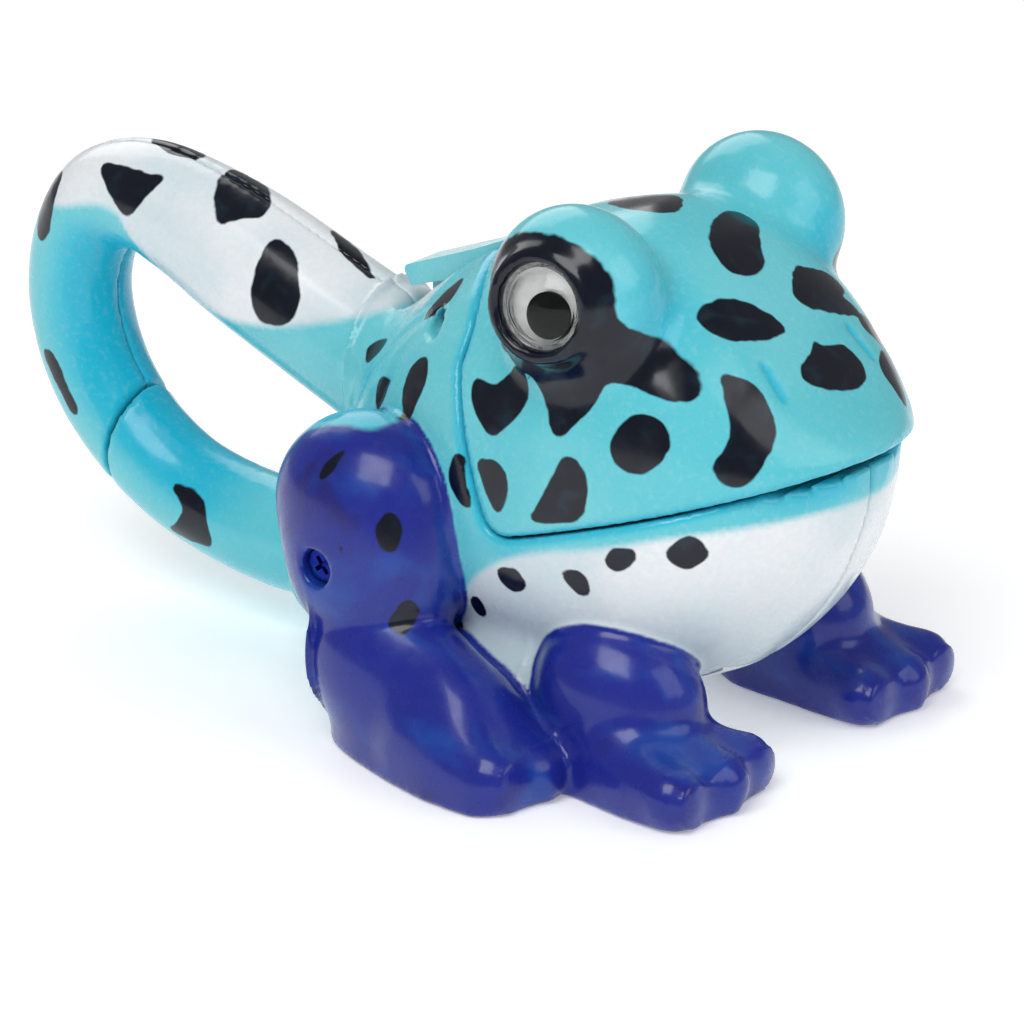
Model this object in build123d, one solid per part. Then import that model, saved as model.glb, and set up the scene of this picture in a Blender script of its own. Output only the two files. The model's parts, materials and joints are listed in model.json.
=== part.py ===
"""Frog-shaped carabiner torch: a clip-on light whose mouth opens and lights up.

Frame: +X towards the nose, +Y to the frog's left, +Z up, millimetres. The origin is under the
middle of the toy, on the surface that its four feet stand on.
"""

from build123d import *
import os
from math import copysign, cos, pi, radians, sin, sqrt, tan

# ---- driving dimensions -------------------------------------------------------------------
HALF_LENGTH = 44.2  # nose to the middle, and the middle to the back of the loop
WALL = 1.8  # body shell thickness
LID_WALL = 1.6  # head shell thickness
HEAD_INSIDE_FRONT = 42.8  # the hollow of the head ends flat behind the nose
GAP = 0.3  # gap round the head lid and between gate and hook
FIT = 0.05  # radial clearance of a running fit
BIG = 200.0  # larger than the toy, for cutting solids

# Rounded sections that the torso and head pass through:
# x, half width, top, bottom, level of the widest point, fullness of the upper side
TORSO_OVALS = [
    (-5.0, 9.0, 31.5, 7.0, 19.0, 2.0),
    (0.0, 12.0, 33.6, 5.4, 19.5, 2.0),
    (5.0, 14.6, 37.4, 4.8, 20.0, 2.0),
    (10.0, 16.3, 40.6, 4.5, 20.5, 2.05),
    (16.0, 17.3, 43.4, 4.4, 21.0, 2.15),
    (22.0, 17.6, 44.7, 4.6, 21.5, 2.3),
    (28.0, 17.0, 43.2, 5.6, 22.5, 2.5),
    (33.0, 15.5, 39.4, 7.6, 23.6, 2.7),
    (37.0, 13.2, 35.2, 10.4, 24.8, 2.7),
    (40.0, 10.6, 32.2, 13.6, 25.8, 2.5),
    (42.4, 7.0, 29.9, 18.0, 26.6, 2.2),
    (43.7, 3.7, 28.6, 22.4, 27.0, 2.0),
    (HALF_LENGTH, 1.6, 28.3, 25.4, 26.9, 2.0),
]
BELLY_FULLNESS = 2.15
REAR_ROUND = ((9.0, 0.0, 19.3), (14.2, 16.4, 20.4))  # ellipsoid that closes the rear
REAR_ROUND_TO = 1.0  # and is used behind this x

# Right legs. The round masses are ellipsoids: centre, half sizes.
# The feet pass through flat-bottomed ovals: x, middle y, half width, height.
HIND_KNEE = ((5.1, -16.4, 18.2), (8.8, 6.8, 9.9))
HIND_HEEL = ((7.8, -18.6, 8.2), (6.2, 5.0, 5.8))
HIND_FOOT = [
    (6.2, -18.8, 2.6, 7.6),
    (8.4, -18.9, 3.8, 9.8),
    (13.0, -19.4, 5.6, 10.0),
    (18.0, -20.1, 6.4, 8.0),
    (22.8, -20.5, 6.4, 5.0),
    (25.4, -20.3, 5.4, 3.0),
]
FRONT_ARM = ((28.8, -13.4, 8.2), (7.4, 5.2, 6.4))
FRONT_FOOT = [
    (21.4, -13.4, 2.6, 4.6),
    (24.0, -13.6, 4.4, 7.4),
    (29.0, -13.9, 5.4, 7.6),
    (34.0, -14.2, 6.0, 5.4),
    (37.2, -14.25, 6.1, 4.2),
    (38.4, -14.25, 5.2, 2.6),
]

# Centres of the carabiner loop and the radius there, from the neck round to the gate's hinge
LOOP_STATIONS = [
    (2.5, 22.5, 6.3),
    (-4.0, 25.4, 6.3),
    (-11.4, 28.5, 6.15),
    (-20.5, 32.4, 5.95),
    (-26.4, 34.7, 5.4),
    (-31.5, 35.9, 4.95),
    (-36.0, 34.9, 4.7),
    (-38.6, 31.4, 4.58),
    (-39.65, 26.7, 4.55),
    (-38.9, 21.8, 4.55),
    (-36.6, 17.2, 4.5),
    (-32.5, 13.0, 4.42),
    (-26.7, 9.8, 4.46),
    (-17.8, 7.9, 4.7),
    (-8.0, 7.9, 4.75),
]
LOOP_WALL = 1.7

# Jaw hinge, across the toy at the back of the head
JAW_PIN = (7.2, 34.0)
PIN_RADIUS = 1.0
JAW_PIN_LENGTH = 16.0
SEAM_ARC_RADIUS = 5.2  # back edge of the lid, round the jaw pin
SEAM_ARC_FROM = -15.0
SEAM_ARC_TO = 88.0
SEAM_CORNER_RADIUS = 3.0
MOUTH_POINT = (27.3, 22.4)  # a point on the mouth line
MOUTH_ANGLE = 16.6  # the mouth line rises towards the nose
MOUTH_SLOPE = tan(radians(MOUTH_ANGLE))
MOUTH_BACK = (17.54, 19.49)  # where the mouth line would meet the back of the seam

# Gate hinge, across the toy between the hind legs
GATE_PIN = (-7.0, 8.0)
GATE_PIN_LENGTH = 13.2
GATE_SEAM_RADIUS = 27.1  # gate and hook meet on an arc round the gate pin
GATE_END = 4.8  # the thick part of the gate stops this far behind its pin
GATE_LIMB = ((-40.0, -20.0, -5.0), (-4.0, 20.0, 20.0))  # the lower limb lies in this box
KNUCKLE_RADIUS = 2.6
KNUCKLE_HALF = 1.8
CHEEK_RADIUS = 4.0
CHEEK_INNER = 3.6
CHEEK_OUTER = 7.6
SPRING_WIRE = 0.4
SPRING_RADIUS = 1.7
STOP_TONGUE = ((-35.2, -1.4, 10.6), (-31.6, 1.4, 12.0))  # on the hook, under the gate's nose

# Eyes: stick-on 7 mm eyes set in the sides of two bumps
EYE_CENTRE = (23.3, 17.9, 40.6)
EYE_FACING = (0.12, 0.98, 0.12)
EYE_RADIUS = 3.5
EYE_FLOOR = 1.3  # depth of the seat below the eye's rim
FOIL = 0.4
PUPIL_RADIUS = 1.85
PUPIL_SHIFT = (0.35, -0.75)  # the loose pupil lies forward and low in the eye
DOME_WALL = 0.45
DOME_SPHERE = 5.2
BUMP_CENTRE = (23.3, 13.2, 40.4)
BUMP_SIZE = (7.3, 6.0, 7.2)

# Thumb lever, on the middle of the back of the head
TAB_OUTLINE = [(-2.3, 35.4), (-1.4, 33.8), (3.0, 35.2), (10.0, 37.8), (10.4, 40.4), (5.0, 38.1)]
TAB_HALF = 2.2
LEVER_HALF = 1.6
LEVER_WEB = [(0.4, 34.6), (0.4, 33.4), (3.0, 31.2), (6.0, 31.8), (9.4, 34.0), (9.2, 38.6)]
LEVER_HUB = 2.3
SLOT_HALF = 2.7
SLOT_OUTLINE = [(0.0, 28.4), (4.0, 28.4), (14.0, 33.0), (14.0, 50.0), (0.0, 50.0)]
SCOOP_OUTLINE = [(-3.6, 33.0), (-2.4, 31.4), (0.1, 31.0), (0.1, 50.0), (-3.6, 50.0)]
EAR_INNER = 4.0
EAR_OUTER = 5.6
EAR_RADIUS = 2.0
BOSS_INNER = 5.8
BOSS_OUTER = 9.6
BOSS_RADIUS = 2.3
PALATE_LOW = 6.6  # the roof of the mouth, above the mouth line
PALATE_HIGH = 8.1
PALATE_SCREWS = [(26.0, -7.5), (26.0, 7.5), (21.6, 0.0)]  # x at the mouth line, y
SMALL_SCREW = 0.8  # radius of the thread
SMALL_HEAD = 1.6
SMALL_HEAD_HEIGHT = 0.7
HEAD_POST = 1.9

# Light and power
LED_START = 20.0
LED_RADIUS = 2.5
LED_LENGTH = 8.6
LED_HEIGHT = 3.1  # axis above the mouth line
FLANGE_RADIUS = 2.9
HOLDER_SIZE = (2.6, 9.0, 5.9)
LEAD_SPACING = 1.27
LEAD = 0.5
CELL_CENTRE = (25.6, 13.9)
CELL_RADIUS = 5.8
CELL_THICKNESS = 3.05
CELL_COUNT = 3
STACK_HALF = CELL_COUNT * CELL_THICKNESS / 2
BAY = ((19.7, -4.95, 0.0), (31.5, 4.95, 30.0))  # the space that the cells drop into
DOOR = ((14.2, -5.6, 0.0), (32.6, 5.6, 9.6))
DOOR_GAP = 0.15
DOOR_SCREW_X = 16.6
DOOR_SCREW_FACE = 4.35
FRAME_BLOCK = ((18.9, -6.2, 8.2), (32.3, 6.2, 16.6))
FRAME_POST = ((14.6, -2.4, 7.4), (18.9, 2.4, 13.0))
CONTACT_LOW = (21.4, 9.6)  # the lowest rear corner of each battery contact: x, z
CONTACT_HIGH = (29.8, 18.6)
CONTACT_SHEET = 0.28
BOARD = ((8.4, -6.0, 15.4), (18.6, 6.0, 16.4))
KNEE_SCREW = (4.2, 16.0)
KNEE_SCREW_FACE = -21.8
KNEE_SCREW_HEAD = 1.4
KNEE_SCREW_TIP = 5.6
SCREW_POST_RADIUS = 2.5
POST_END = 13.0  # posts and shelf reach this far from the middle
SWITCH_SHELF = (8.0, 14.2, 24.4, 25.4)  # first x, last x, underside, top
SWITCH_BASE = ((8.0, -2.4, 25.4), (10.6, 2.4, 30.08))
FIXED_CONTACT = ((3.4, -1.4, 28.9), (10.4, 1.4, 29.12))
SWITCH_LEAF = ((2.6, -1.4, 30.1), (10.4, 1.4, 30.3))


# ---- helpers --------------------------------------------------------------------------------
def across(x, z, y=0.0):
    """A work plane at that point whose normal runs across the toy, towards +Y."""
    return Plane(origin=(x, y, z), x_dir=(1, 0, 0), z_dir=(0, 1, 0))


def side_prism(points, y_low, y_high):
    """A straight-sided prism: a side-view outline (x, z), extruded from y_low to y_high."""
    plane = Plane(origin=(0, y_low, 0), x_dir=(1, 0, 0), z_dir=(0, 1, 0))
    outline = make_face(Polyline(*[(x, -z) for x, z in points], close=True))
    return extrude(plane * outline, y_high - y_low)


def side_disc(centre, radius, y_low, y_high):
    """A cylinder across the toy, from y_low to y_high, round a side-view centre (x, z)."""
    plane = across(centre[0], centre[1], y_low)
    return extrude(plane * Circle(radius), y_high - y_low)


def box_between(low, high):
    """An upright box between two corners."""
    size = [high[i] - low[i] for i in range(3)]
    middle = [(high[i] + low[i]) / 2 for i in range(3)]
    return Pos(*middle) * Box(*size)


def ellipsoid(centre, size):
    """An ellipsoid with these half sizes."""
    return Pos(*centre) * scale(Sphere(1.0), by=size)


def flip(solid):
    """The same piece on the frog's other side."""
    return mirror(solid, about=Plane.XZ)


def mouth_z(x):
    """Height of the mouth line at x."""
    return MOUTH_POINT[1] + (x - MOUTH_POINT[0]) * MOUTH_SLOPE


def mouth_band(x_low, x_high, low, high, half_width):
    """A plate parallel to the mouth line, from low to high above it."""
    rise = 1 / cos(radians(MOUTH_ANGLE))
    outline = [
        (x_low, mouth_z(x_low) + low * rise),
        (x_high, mouth_z(x_high) + low * rise),
        (x_high, mouth_z(x_high) + high * rise),
        (x_low, mouth_z(x_low) + high * rise),
    ]
    return side_prism(outline, -half_width, half_width)


def cross_head_screw(plane, head_radius, head_height, shank_radius, length):
    """A screw whose head's outer face lies on the plane and whose shank points the other way."""
    head = extrude(Circle(head_radius), -head_height)
    shank = extrude(Circle(shank_radius), -(head_height + length))
    slot = Box(head_radius * 1.2, head_radius * 0.28, head_height * 0.9)
    cross = slot + Rot(0, 0, 90) * slot
    return plane * ((head + shank) - cross)


# ---- outer forms ----------------------------------------------------------------------------
def rounded_arch(half, rise, fullness):
    """Half of a rounded section: an ellipse, or fuller than one above 2."""
    steps = 8
    points = []
    for step in range(steps + 1):
        turn = pi * step / steps
        along = copysign(abs(cos(turn)) ** (2 / fullness), cos(turn))
        points.append((half * along, rise * abs(sin(turn)) ** (2 / fullness)))
    way = copysign(1, rise)
    return Spline(*points, tangents=[(0, way), (0, -way)])


def rear_limit(inset):
    """Everything in front of the torso's rounded rear, or of its inner wall."""
    centre, size = REAR_ROUND
    dome = ellipsoid(centre, tuple(half - inset for half in size))
    return dome + box_between((REAR_ROUND_TO, -BIG, -BIG), (BIG, BIG, BIG))


def torso_form(inset=0.0):
    """The torso and head together, as one smooth rounded form, or a smaller one inside it."""
    sections = []
    for x, half, top, bottom, level, fullness in TORSO_OVALS:
        half_in = max(half - inset, 0.6)
        upper = max(top - inset - level, 0.6)
        lower = max(level - bottom - inset, 0.6)
        plane = Plane(origin=(x, 0, level), x_dir=(0, 1, 0), z_dir=(1, 0, 0))
        crest = rounded_arch(half_in, upper, fullness)
        keel = rounded_arch(half_in, -lower, BELLY_FULLNESS)
        sections.append(plane * make_face(crest + keel))
    if inset:
        return loft(sections[:-1]) & rear_limit(inset)
    return loft(sections) & rear_limit(0.0)


def loop_form(inset=0.0, first=0, last=None):
    """The carabiner loop as one round, tapering bar, or a thinner one inside it."""
    stations = LOOP_STATIONS[first:last]
    path = Spline(*[(x, 0, z) for x, z, r in stations])
    sections = []
    for x, z, r in stations:
        at = path.param_at_point((x, 0, z))
        plane = Plane(origin=(x, 0, z), x_dir=(0, 1, 0), z_dir=path % at)
        sections.append(plane * Circle(r - inset))
    return loft(sections)


def foot_form(sections):
    """A foot with a flat sole: flat-bottomed ovals along X as x, middle y, half width, height."""
    faces = []
    for x, y, half, height in sections:
        plane = Plane(origin=(x, y, 0), x_dir=(0, 1, 0), z_dir=(1, 0, 0))
        arch = EllipticalCenterArc((0, 0), half, height, start_angle=0, arc_size=180)
        faces.append(plane * make_face(arch + Line((-half, 0), (half, 0))))
    return loft(faces)


def right_legs():
    """Hind and front leg of the frog's right side, cut flat at the ground."""
    rounds = ellipsoid(*HIND_KNEE) + ellipsoid(*HIND_HEEL) + ellipsoid(*FRONT_ARM)
    above_ground = box_between((-BIG, -BIG, 0), (BIG, BIG, BIG))
    return (rounds & above_ground) + foot_form(HIND_FOOT) + foot_form(FRONT_FOOT)


def lid_region(grow):
    """The space that the head lid takes, grown or shrunk all round in side view."""
    pin_x, pin_z = JAW_PIN
    corner = Vector(*MOUTH_BACK)

    def on_arc(angle):
        turn = radians(angle)
        return (pin_x + SEAM_ARC_RADIUS * cos(turn), pin_z + SEAM_ARC_RADIUS * sin(turn))

    low, middle, high = [
        on_arc(a)
        for a in (SEAM_ARC_FROM, (SEAM_ARC_FROM + SEAM_ARC_TO) / 2, SEAM_ARC_TO)
    ]
    far_x = 60.0
    edges = [
        Line(low, (corner.X, corner.Y)),
        Line((corner.X, corner.Y), (far_x, mouth_z(far_x))),
        Line((far_x, mouth_z(far_x)), (far_x, far_x)),
        Line((far_x, far_x), (high[0], far_x)),
        Line((high[0], far_x), high),
        ThreePointArc(high, middle, low),
    ]
    outline = make_face(Curve() + edges)
    inner_corner = outline.vertices().sort_by_distance(Vector(corner.X, corner.Y, 0))[0]
    outline = fillet(inner_corner, SEAM_CORNER_RADIUS)
    if grow:
        outline = offset(outline, grow)
    plane = Plane(origin=(0, -BIG / 2, 0), x_dir=(1, 0, 0), z_dir=(0, -1, 0))
    return extrude(plane * outline, -BIG)


def eye_plane(side, depth=0.0):
    """A work plane on the eye's rim, facing out, moved inwards by depth."""
    facing = Vector(EYE_FACING[0], side * EYE_FACING[1], EYE_FACING[2]).normalized()
    centre = Vector(EYE_CENTRE[0], side * EYE_CENTRE[1], EYE_CENTRE[2])
    forward = Vector(1, 0, 0) - facing * facing.X
    return Plane(origin=centre - facing * depth, x_dir=forward, z_dir=facing)


def largest(shape):
    """The main solid of a shape, without specks that a cut left behind."""
    return Part(max(shape.solids(), key=lambda solid: solid.volume).wrapped)


def along_mouth(x, above):
    """A work plane on the middle of the mouth at x, that far above it, facing the nose."""
    tilt = radians(MOUTH_ANGLE)
    origin = (x - above * sin(tilt), 0, mouth_z(x) + above * cos(tilt))
    return Plane(origin=origin, x_dir=(0, 1, 0), z_dir=(cos(tilt), 0, sin(tilt)))


def over_mouth(x, y, above, facing=1):
    """A work plane parallel to the mouth line, facing up, or down when facing is -1."""
    tilt = radians(MOUTH_ANGLE)
    origin = along_mouth(x, above).origin + Vector(0, y, 0)
    up = Vector(-sin(tilt), 0, cos(tilt))
    return Plane(origin=origin, x_dir=(cos(tilt), 0, sin(tilt)), z_dir=up * facing)


TORSO = torso_form()
CAVITY = torso_form(WALL)
INSIDE = torso_form(WALL + 0.12)
HEAD_FRONT = box_between((-BIG, -BIG, -BIG), (HEAD_INSIDE_FRONT, BIG, BIG))
HEAD_INSIDE = torso_form(LID_WALL) & HEAD_FRONT
LOOP = loop_form()
LID = lid_region(0.0)
LID_INNER = lid_region(-GAP)


# ---- body shells ----------------------------------------------------------------------------
def gate_sector(radius):
    """The lower limb's space, out to a radius from the gate pin."""
    return side_disc(GATE_PIN, radius, -BIG / 2, BIG / 2) & box_between(*GATE_LIMB)


def body_outside():
    """The moulded body as if it were solid: torso, hook arm, gate cheeks and legs."""
    hook = LOOP - gate_sector(GATE_SEAM_RADIUS + GAP / 2)
    hook = hook + box_between(*STOP_TONGUE)
    legs = right_legs()
    pin_x, pin_z = GATE_PIN
    root = [(pin_x, pin_z - 3.9), (1.0, pin_z - 2.2), (1.0, pin_z + 4.6), (pin_x, pin_z + 3.9)]
    body = TORSO + hook + legs + flip(legs)
    for low, high in ((-CHEEK_OUTER, -CHEEK_INNER), (CHEEK_INNER, CHEEK_OUTER)):
        body = body + side_disc(GATE_PIN, CHEEK_RADIUS, low, high) + side_prism(root, low, high)
    return body - side_disc(GATE_PIN, KNUCKLE_RADIUS + 0.35, -CHEEK_INNER, CHEEK_INNER)


def inner_bosses(side):
    """Posts and shelves inside one half: side is -1 on the right and 1 on the left."""
    low, high = sorted((side * BOSS_INNER, side * BOSS_OUTER))
    jaw_boss = side_disc(JAW_PIN, BOSS_RADIUS, low, high)
    low, high = sorted((0.0, side * POST_END))
    screw_post = side_disc(KNEE_SCREW, SCREW_POST_RADIUS, low, high)
    rear, front, under, top = SWITCH_SHELF
    shelf = box_between((rear, low, under), (front, high, top))
    return (jaw_boss + screw_post + shelf) & TORSO


def body_half(outside, side):
    """One half shell of the body, with the hollow, slots and bores that it needs."""
    reach = box_between((-BIG, min(0, side * BIG), -BIG), (BIG, max(0, side * BIG), BIG))
    hollow = CAVITY + loop_form(LOOP_WALL, 0, 11)
    hollow = hollow + side_disc(JAW_PIN, EAR_RADIUS + 0.4, -BOSS_INNER, BOSS_INNER)
    shell = largest((outside & reach) - hollow - LID)
    shell = shell + inner_bosses(side)
    for outline in (SLOT_OUTLINE, SCOOP_OUTLINE):
        shell = shell - side_prism(outline, -SLOT_HALF, SLOT_HALF)
    jaw_bore = JAW_PIN_LENGTH / 2 + 0.15
    gate_bore = GATE_PIN_LENGTH / 2 + 0.15
    shell = shell - side_disc(JAW_PIN, PIN_RADIUS + 0.02, -jaw_bore, jaw_bore)
    shell = shell - side_disc(GATE_PIN, PIN_RADIUS + 0.02, -gate_bore, gate_bore)
    door_low = [DOOR[0][0] - DOOR_GAP, DOOR[0][1] - DOOR_GAP, DOOR[0][2]]
    door_high = [DOOR[1][0] + DOOR_GAP, DOOR[1][1] + DOOR_GAP, DOOR[1][2]]
    shell = shell - box_between(door_low, door_high)
    if side < 0:
        pocket = KNEE_SCREW_HEAD + 0.15
        shell = shell - side_disc(KNEE_SCREW, pocket, -30.0, KNEE_SCREW_FACE + 1.2)
        shell = shell - side_disc(KNEE_SCREW, 1.1, -30.0, 1.0)
    else:
        shell = shell - side_disc(KNEE_SCREW, 0.92, -1.0, KNEE_SCREW_TIP + 0.4)
    return largest(shell)


def body_screw():
    """The cross-head screw that draws the two halves together through the right knee."""
    plane = Plane(
        origin=(KNEE_SCREW[0], KNEE_SCREW_FACE, KNEE_SCREW[1]),
        x_dir=(0.8, 0, 0.6),
        z_dir=(0, -1, 0),
    )
    length = KNEE_SCREW_TIP - KNEE_SCREW_FACE
    return cross_head_screw(plane, KNEE_SCREW_HEAD, 1.1, 0.9, length - 1.1)


def hinge_pin(centre, length):
    """A plain steel pin across the toy."""
    return side_disc(centre, PIN_RADIUS, -length / 2, length / 2)


# ---- gate -----------------------------------------------------------------------------------
def gate():
    """The sprung lower limb of the carabiner, with a knuckle that turns on the gate pin."""
    limb = LOOP & gate_sector(GATE_SEAM_RADIUS - GAP / 2)
    pin_x, pin_z = GATE_PIN
    thick = limb & box_between((-BIG, -BIG, -BIG), (pin_x - GATE_END, BIG, BIG))
    tongue = limb & box_between((-BIG, -KNUCKLE_HALF, -BIG), (BIG, KNUCKLE_HALF, BIG))
    web_low = (pin_x - GATE_END, -KNUCKLE_HALF, pin_z - KNUCKLE_RADIUS)
    web = box_between(web_low, (pin_x, KNUCKLE_HALF, pin_z + KNUCKLE_RADIUS))
    knuckle = side_disc(GATE_PIN, KNUCKLE_RADIUS, -KNUCKLE_HALF, KNUCKLE_HALF)
    notch_low = (STOP_TONGUE[0][0], STOP_TONGUE[0][1] - 0.3, 0.0)
    notch_high = (STOP_TONGUE[1][0] + 0.5, STOP_TONGUE[1][1] + 0.3, STOP_TONGUE[1][2] + 0.1)
    solid = thick + tongue + web + knuckle
    solid = solid - side_disc(GATE_PIN, PIN_RADIUS + FIT, -BIG / 2, BIG / 2)
    return largest(solid - box_between(notch_low, notch_high))


def torsion_spring(centre, y_low, turns, first_leg, last_leg):
    """A wire coil round a pin, with a leg straight off it at each end: (degrees, length)."""
    plane = across(centre[0], centre[1], y_low)
    # The plane's own angles run the other way round from those of the side view.
    start = 90 - first_leg[0]
    whole_turns = turns + ((-last_leg[0] - 90 - start) / 360) % 1
    height = SPRING_WIRE * 1.1 * whole_turns
    helix = Rot(0, 0, start) * Helix(SPRING_WIRE * 1.1, height, SPRING_RADIUS)
    wire = Circle(SPRING_WIRE / 2)
    spring = sweep(Plane(origin=helix @ 0, z_dir=helix % 0) * wire, path=helix)
    for end, way, length in (
        (helix @ 0, -(helix % 0), first_leg[1]),
        (helix @ 1, helix % 1, last_leg[1]),
    ):
        level = Vector(way.X, way.Y, 0)
        spring = spring + extrude(Plane(origin=end, z_dir=level) * wire, length)
    return plane * spring


# ---- head -----------------------------------------------------------------------------------
def head_shell():
    """The head and upper jaw: one hollow moulding with an eye bump on each side."""
    form = TORSO
    for side in (-1, 1):
        centre = (BUMP_CENTRE[0], side * BUMP_CENTRE[1], BUMP_CENTRE[2])
        form = form + ellipsoid(centre, BUMP_SIZE)
    shell = (form & LID_INNER) - HEAD_INSIDE
    shell = largest(shell)
    for x, y in PALATE_SCREWS[:2]:
        foot = over_mouth(x, y, PALATE_HIGH + 0.04)
        post = extrude(foot * Circle(HEAD_POST), 20) & TORSO
        hole = extrude(foot * Circle(SMALL_SCREW + FIT), 4.2)
        shell = shell + post - hole
    for side in (-1, 1):
        seat = extrude(eye_plane(side, EYE_FLOOR) * Circle(EYE_RADIUS + 0.08), 8)
        shell = shell - seat
    return largest(shell)


def palate():
    """The roof of the mouth, with two ears that reach back to the jaw pin."""
    plate = mouth_band(16.0, 43.0, PALATE_LOW, PALATE_HIGH, 20) & torso_form(LID_WALL + 0.12)
    plate = plate & lid_region(-GAP - 0.1)
    rear = along_mouth(19.5, (PALATE_LOW + PALATE_HIGH) / 2).origin
    for side in (-1, 1):
        low, high = sorted((side * EAR_INNER, side * EAR_OUTER))
        arm = side_prism(
            [
                (JAW_PIN[0] - 1.0, JAW_PIN[1] - 1.6),
                (rear.X + 1.0, rear.Z - 0.4),
                (rear.X + 3.4, rear.Z + 0.5),
                (JAW_PIN[0] + 0.9, JAW_PIN[1] + 1.7),
            ],
            low,
            high,
        )
        plate = plate + arm + side_disc(JAW_PIN, EAR_RADIUS, low, high)
    plate = plate - side_disc(JAW_PIN, PIN_RADIUS + FIT, -BIG / 2, BIG / 2)
    for x, y in PALATE_SCREWS:
        below = over_mouth(x, y, PALATE_LOW - 1.0)
        plate = plate - extrude(below * Circle(SMALL_HEAD + 0.1), SMALL_HEAD_HEIGHT + 1.05)
        plate = plate - extrude(below * Circle(SMALL_SCREW + FIT), 4.0)
    return largest(plate)


def palate_screws():
    """Three small cross-head screws: two up into the head, one up into the lever's tail."""
    screws = []
    for x, y in PALATE_SCREWS:
        plane = over_mouth(x, y, PALATE_LOW, facing=-1)
        screws.append(cross_head_screw(plane, SMALL_HEAD, SMALL_HEAD_HEIGHT, SMALL_SCREW, 4.4))
    return screws


def thumb_lever():
    """The lever that the thumb presses: tab, web, hub on the jaw pin and a tail on the palate."""
    tab = side_prism(TAB_OUTLINE, -TAB_HALF, TAB_HALF)
    tab = fillet(tab.edges().filter_by(Axis.Y).group_by(Axis.X)[0], 0.5)
    web = side_prism(LEVER_WEB, -LEVER_HALF, LEVER_HALF)
    hub = side_disc(JAW_PIN, LEVER_HUB, -LEVER_HALF, LEVER_HALF)
    seat = along_mouth(20.5, PALATE_HIGH + 0.05).origin
    toe = along_mouth(23.6, PALATE_HIGH + 0.05).origin
    tail = side_prism(
        [
            (JAW_PIN[0] - 0.8, JAW_PIN[1] - 2.1),
            (seat.X, seat.Z),
            (toe.X, toe.Z),
            (toe.X - 0.5, toe.Z + 1.8),
            (seat.X, seat.Z + 2.4),
            (JAW_PIN[0] + 1.2, JAW_PIN[1] + 2.0),
        ],
        -LEVER_HALF,
        LEVER_HALF,
    )
    lever = (tab + web) - lid_region(-GAP + 0.1)
    lever = lever + hub + tail
    lever = lever - side_disc(JAW_PIN, PIN_RADIUS + FIT, -BIG / 2, BIG / 2)
    screw_x, screw_y = PALATE_SCREWS[2]
    hole = extrude(over_mouth(screw_x, screw_y, PALATE_LOW) * Circle(SMALL_SCREW + 0.02), 6.0)
    return largest(lever - hole)


def eye_pieces(side):
    """The stick-on eye: foil seat, black pupil and clear dome."""
    foil = extrude(eye_plane(side, EYE_FLOOR) * Circle(EYE_RADIUS), FOIL)
    spot = Circle(PUPIL_RADIUS)
    lift = eye_plane(side, EYE_FLOOR - FOIL - 0.02)
    pupil = extrude(lift * Pos(*PUPIL_SHIFT) * spot, 0.45)
    ball = Sphere(DOME_SPHERE)
    drop = sqrt(DOME_SPHERE**2 - EYE_RADIUS**2)
    cap = Pos(0, 0, -drop) * (ball - Sphere(DOME_SPHERE - DOME_WALL))
    cap = cap & extrude(Circle(EYE_RADIUS), DOME_SPHERE)
    rim = extrude(Circle(EYE_RADIUS) - Circle(EYE_RADIUS - DOME_WALL), EYE_FLOOR - FOIL)
    rim = Pos(0, 0, -(EYE_FLOOR - FOIL)) * rim
    dome = eye_plane(side) * (cap + rim)
    return foil, pupil, dome


# ---- mouth, light and power -----------------------------------------------------------------
def mouth_floor():
    """The deck that closes the lower jaw, just below the mouth line."""
    plate = mouth_band(18.6, 43.0, -1.7, -0.15, 20) & INSIDE
    return largest(plate)


def led():
    """A 5 mm light-emitting diode with a domed lens, lying along the mouth."""
    barrel = LED_LENGTH - LED_RADIUS
    lens = extrude(Circle(LED_RADIUS), barrel) + Pos(0, 0, barrel) * Sphere(LED_RADIUS)
    lens = lens + extrude(Circle(FLANGE_RADIUS), 1.0)
    return along_mouth(LED_START, LED_HEIGHT) * lens


def led_leads():
    """The diode's two legs, bent down behind the mouth floor to the circuit board."""
    start = along_mouth(LED_START - 0.25, LED_HEIGHT).origin
    bend_x = 17.4
    bend_z = start.Z - (start.X - bend_x) * MOUTH_SLOPE
    outline = [
        (start.X, start.Z),
        (start.X, start.Z + LEAD),
        (bend_x, bend_z + LEAD),
        (bend_x, BOARD[1][2]),
        (bend_x + LEAD, BOARD[1][2]),
        (bend_x + LEAD, bend_z + LEAD * MOUTH_SLOPE),
    ]
    legs = []
    for side in (-1, 1):
        middle = side * LEAD_SPACING
        legs.append(side_prism(outline, middle - LEAD / 2, middle + LEAD / 2))
    return legs


def led_holder():
    """A block on the mouth floor that clips round the diode behind its dome."""
    foot = over_mouth(LED_START + 1.4, 0, -0.13)
    block = foot * Box(*HOLDER_SIZE, align=(Align.MIN, Align.CENTER, Align.MIN))
    bore = extrude(along_mouth(LED_START, LED_HEIGHT) * Circle(LED_RADIUS + 0.03), 20)
    return block - bore


def circuit_board():
    """The little board that joins the cells, the switch and the diode."""
    return box_between(*BOARD)


def button_cells():
    """Three 11.6 mm button cells, stacked across the toy."""
    cells = []
    for number in range(CELL_COUNT):
        start = -STACK_HALF + number * CELL_THICKNESS
        can = side_disc(CELL_CENTRE, CELL_RADIUS, start, start + CELL_THICKNESS - 0.3)
        cap = side_disc(CELL_CENTRE, CELL_RADIUS - 1.4, start, start + CELL_THICKNESS - 0.02)
        cells.append(can + cap)
    return cells


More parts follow.
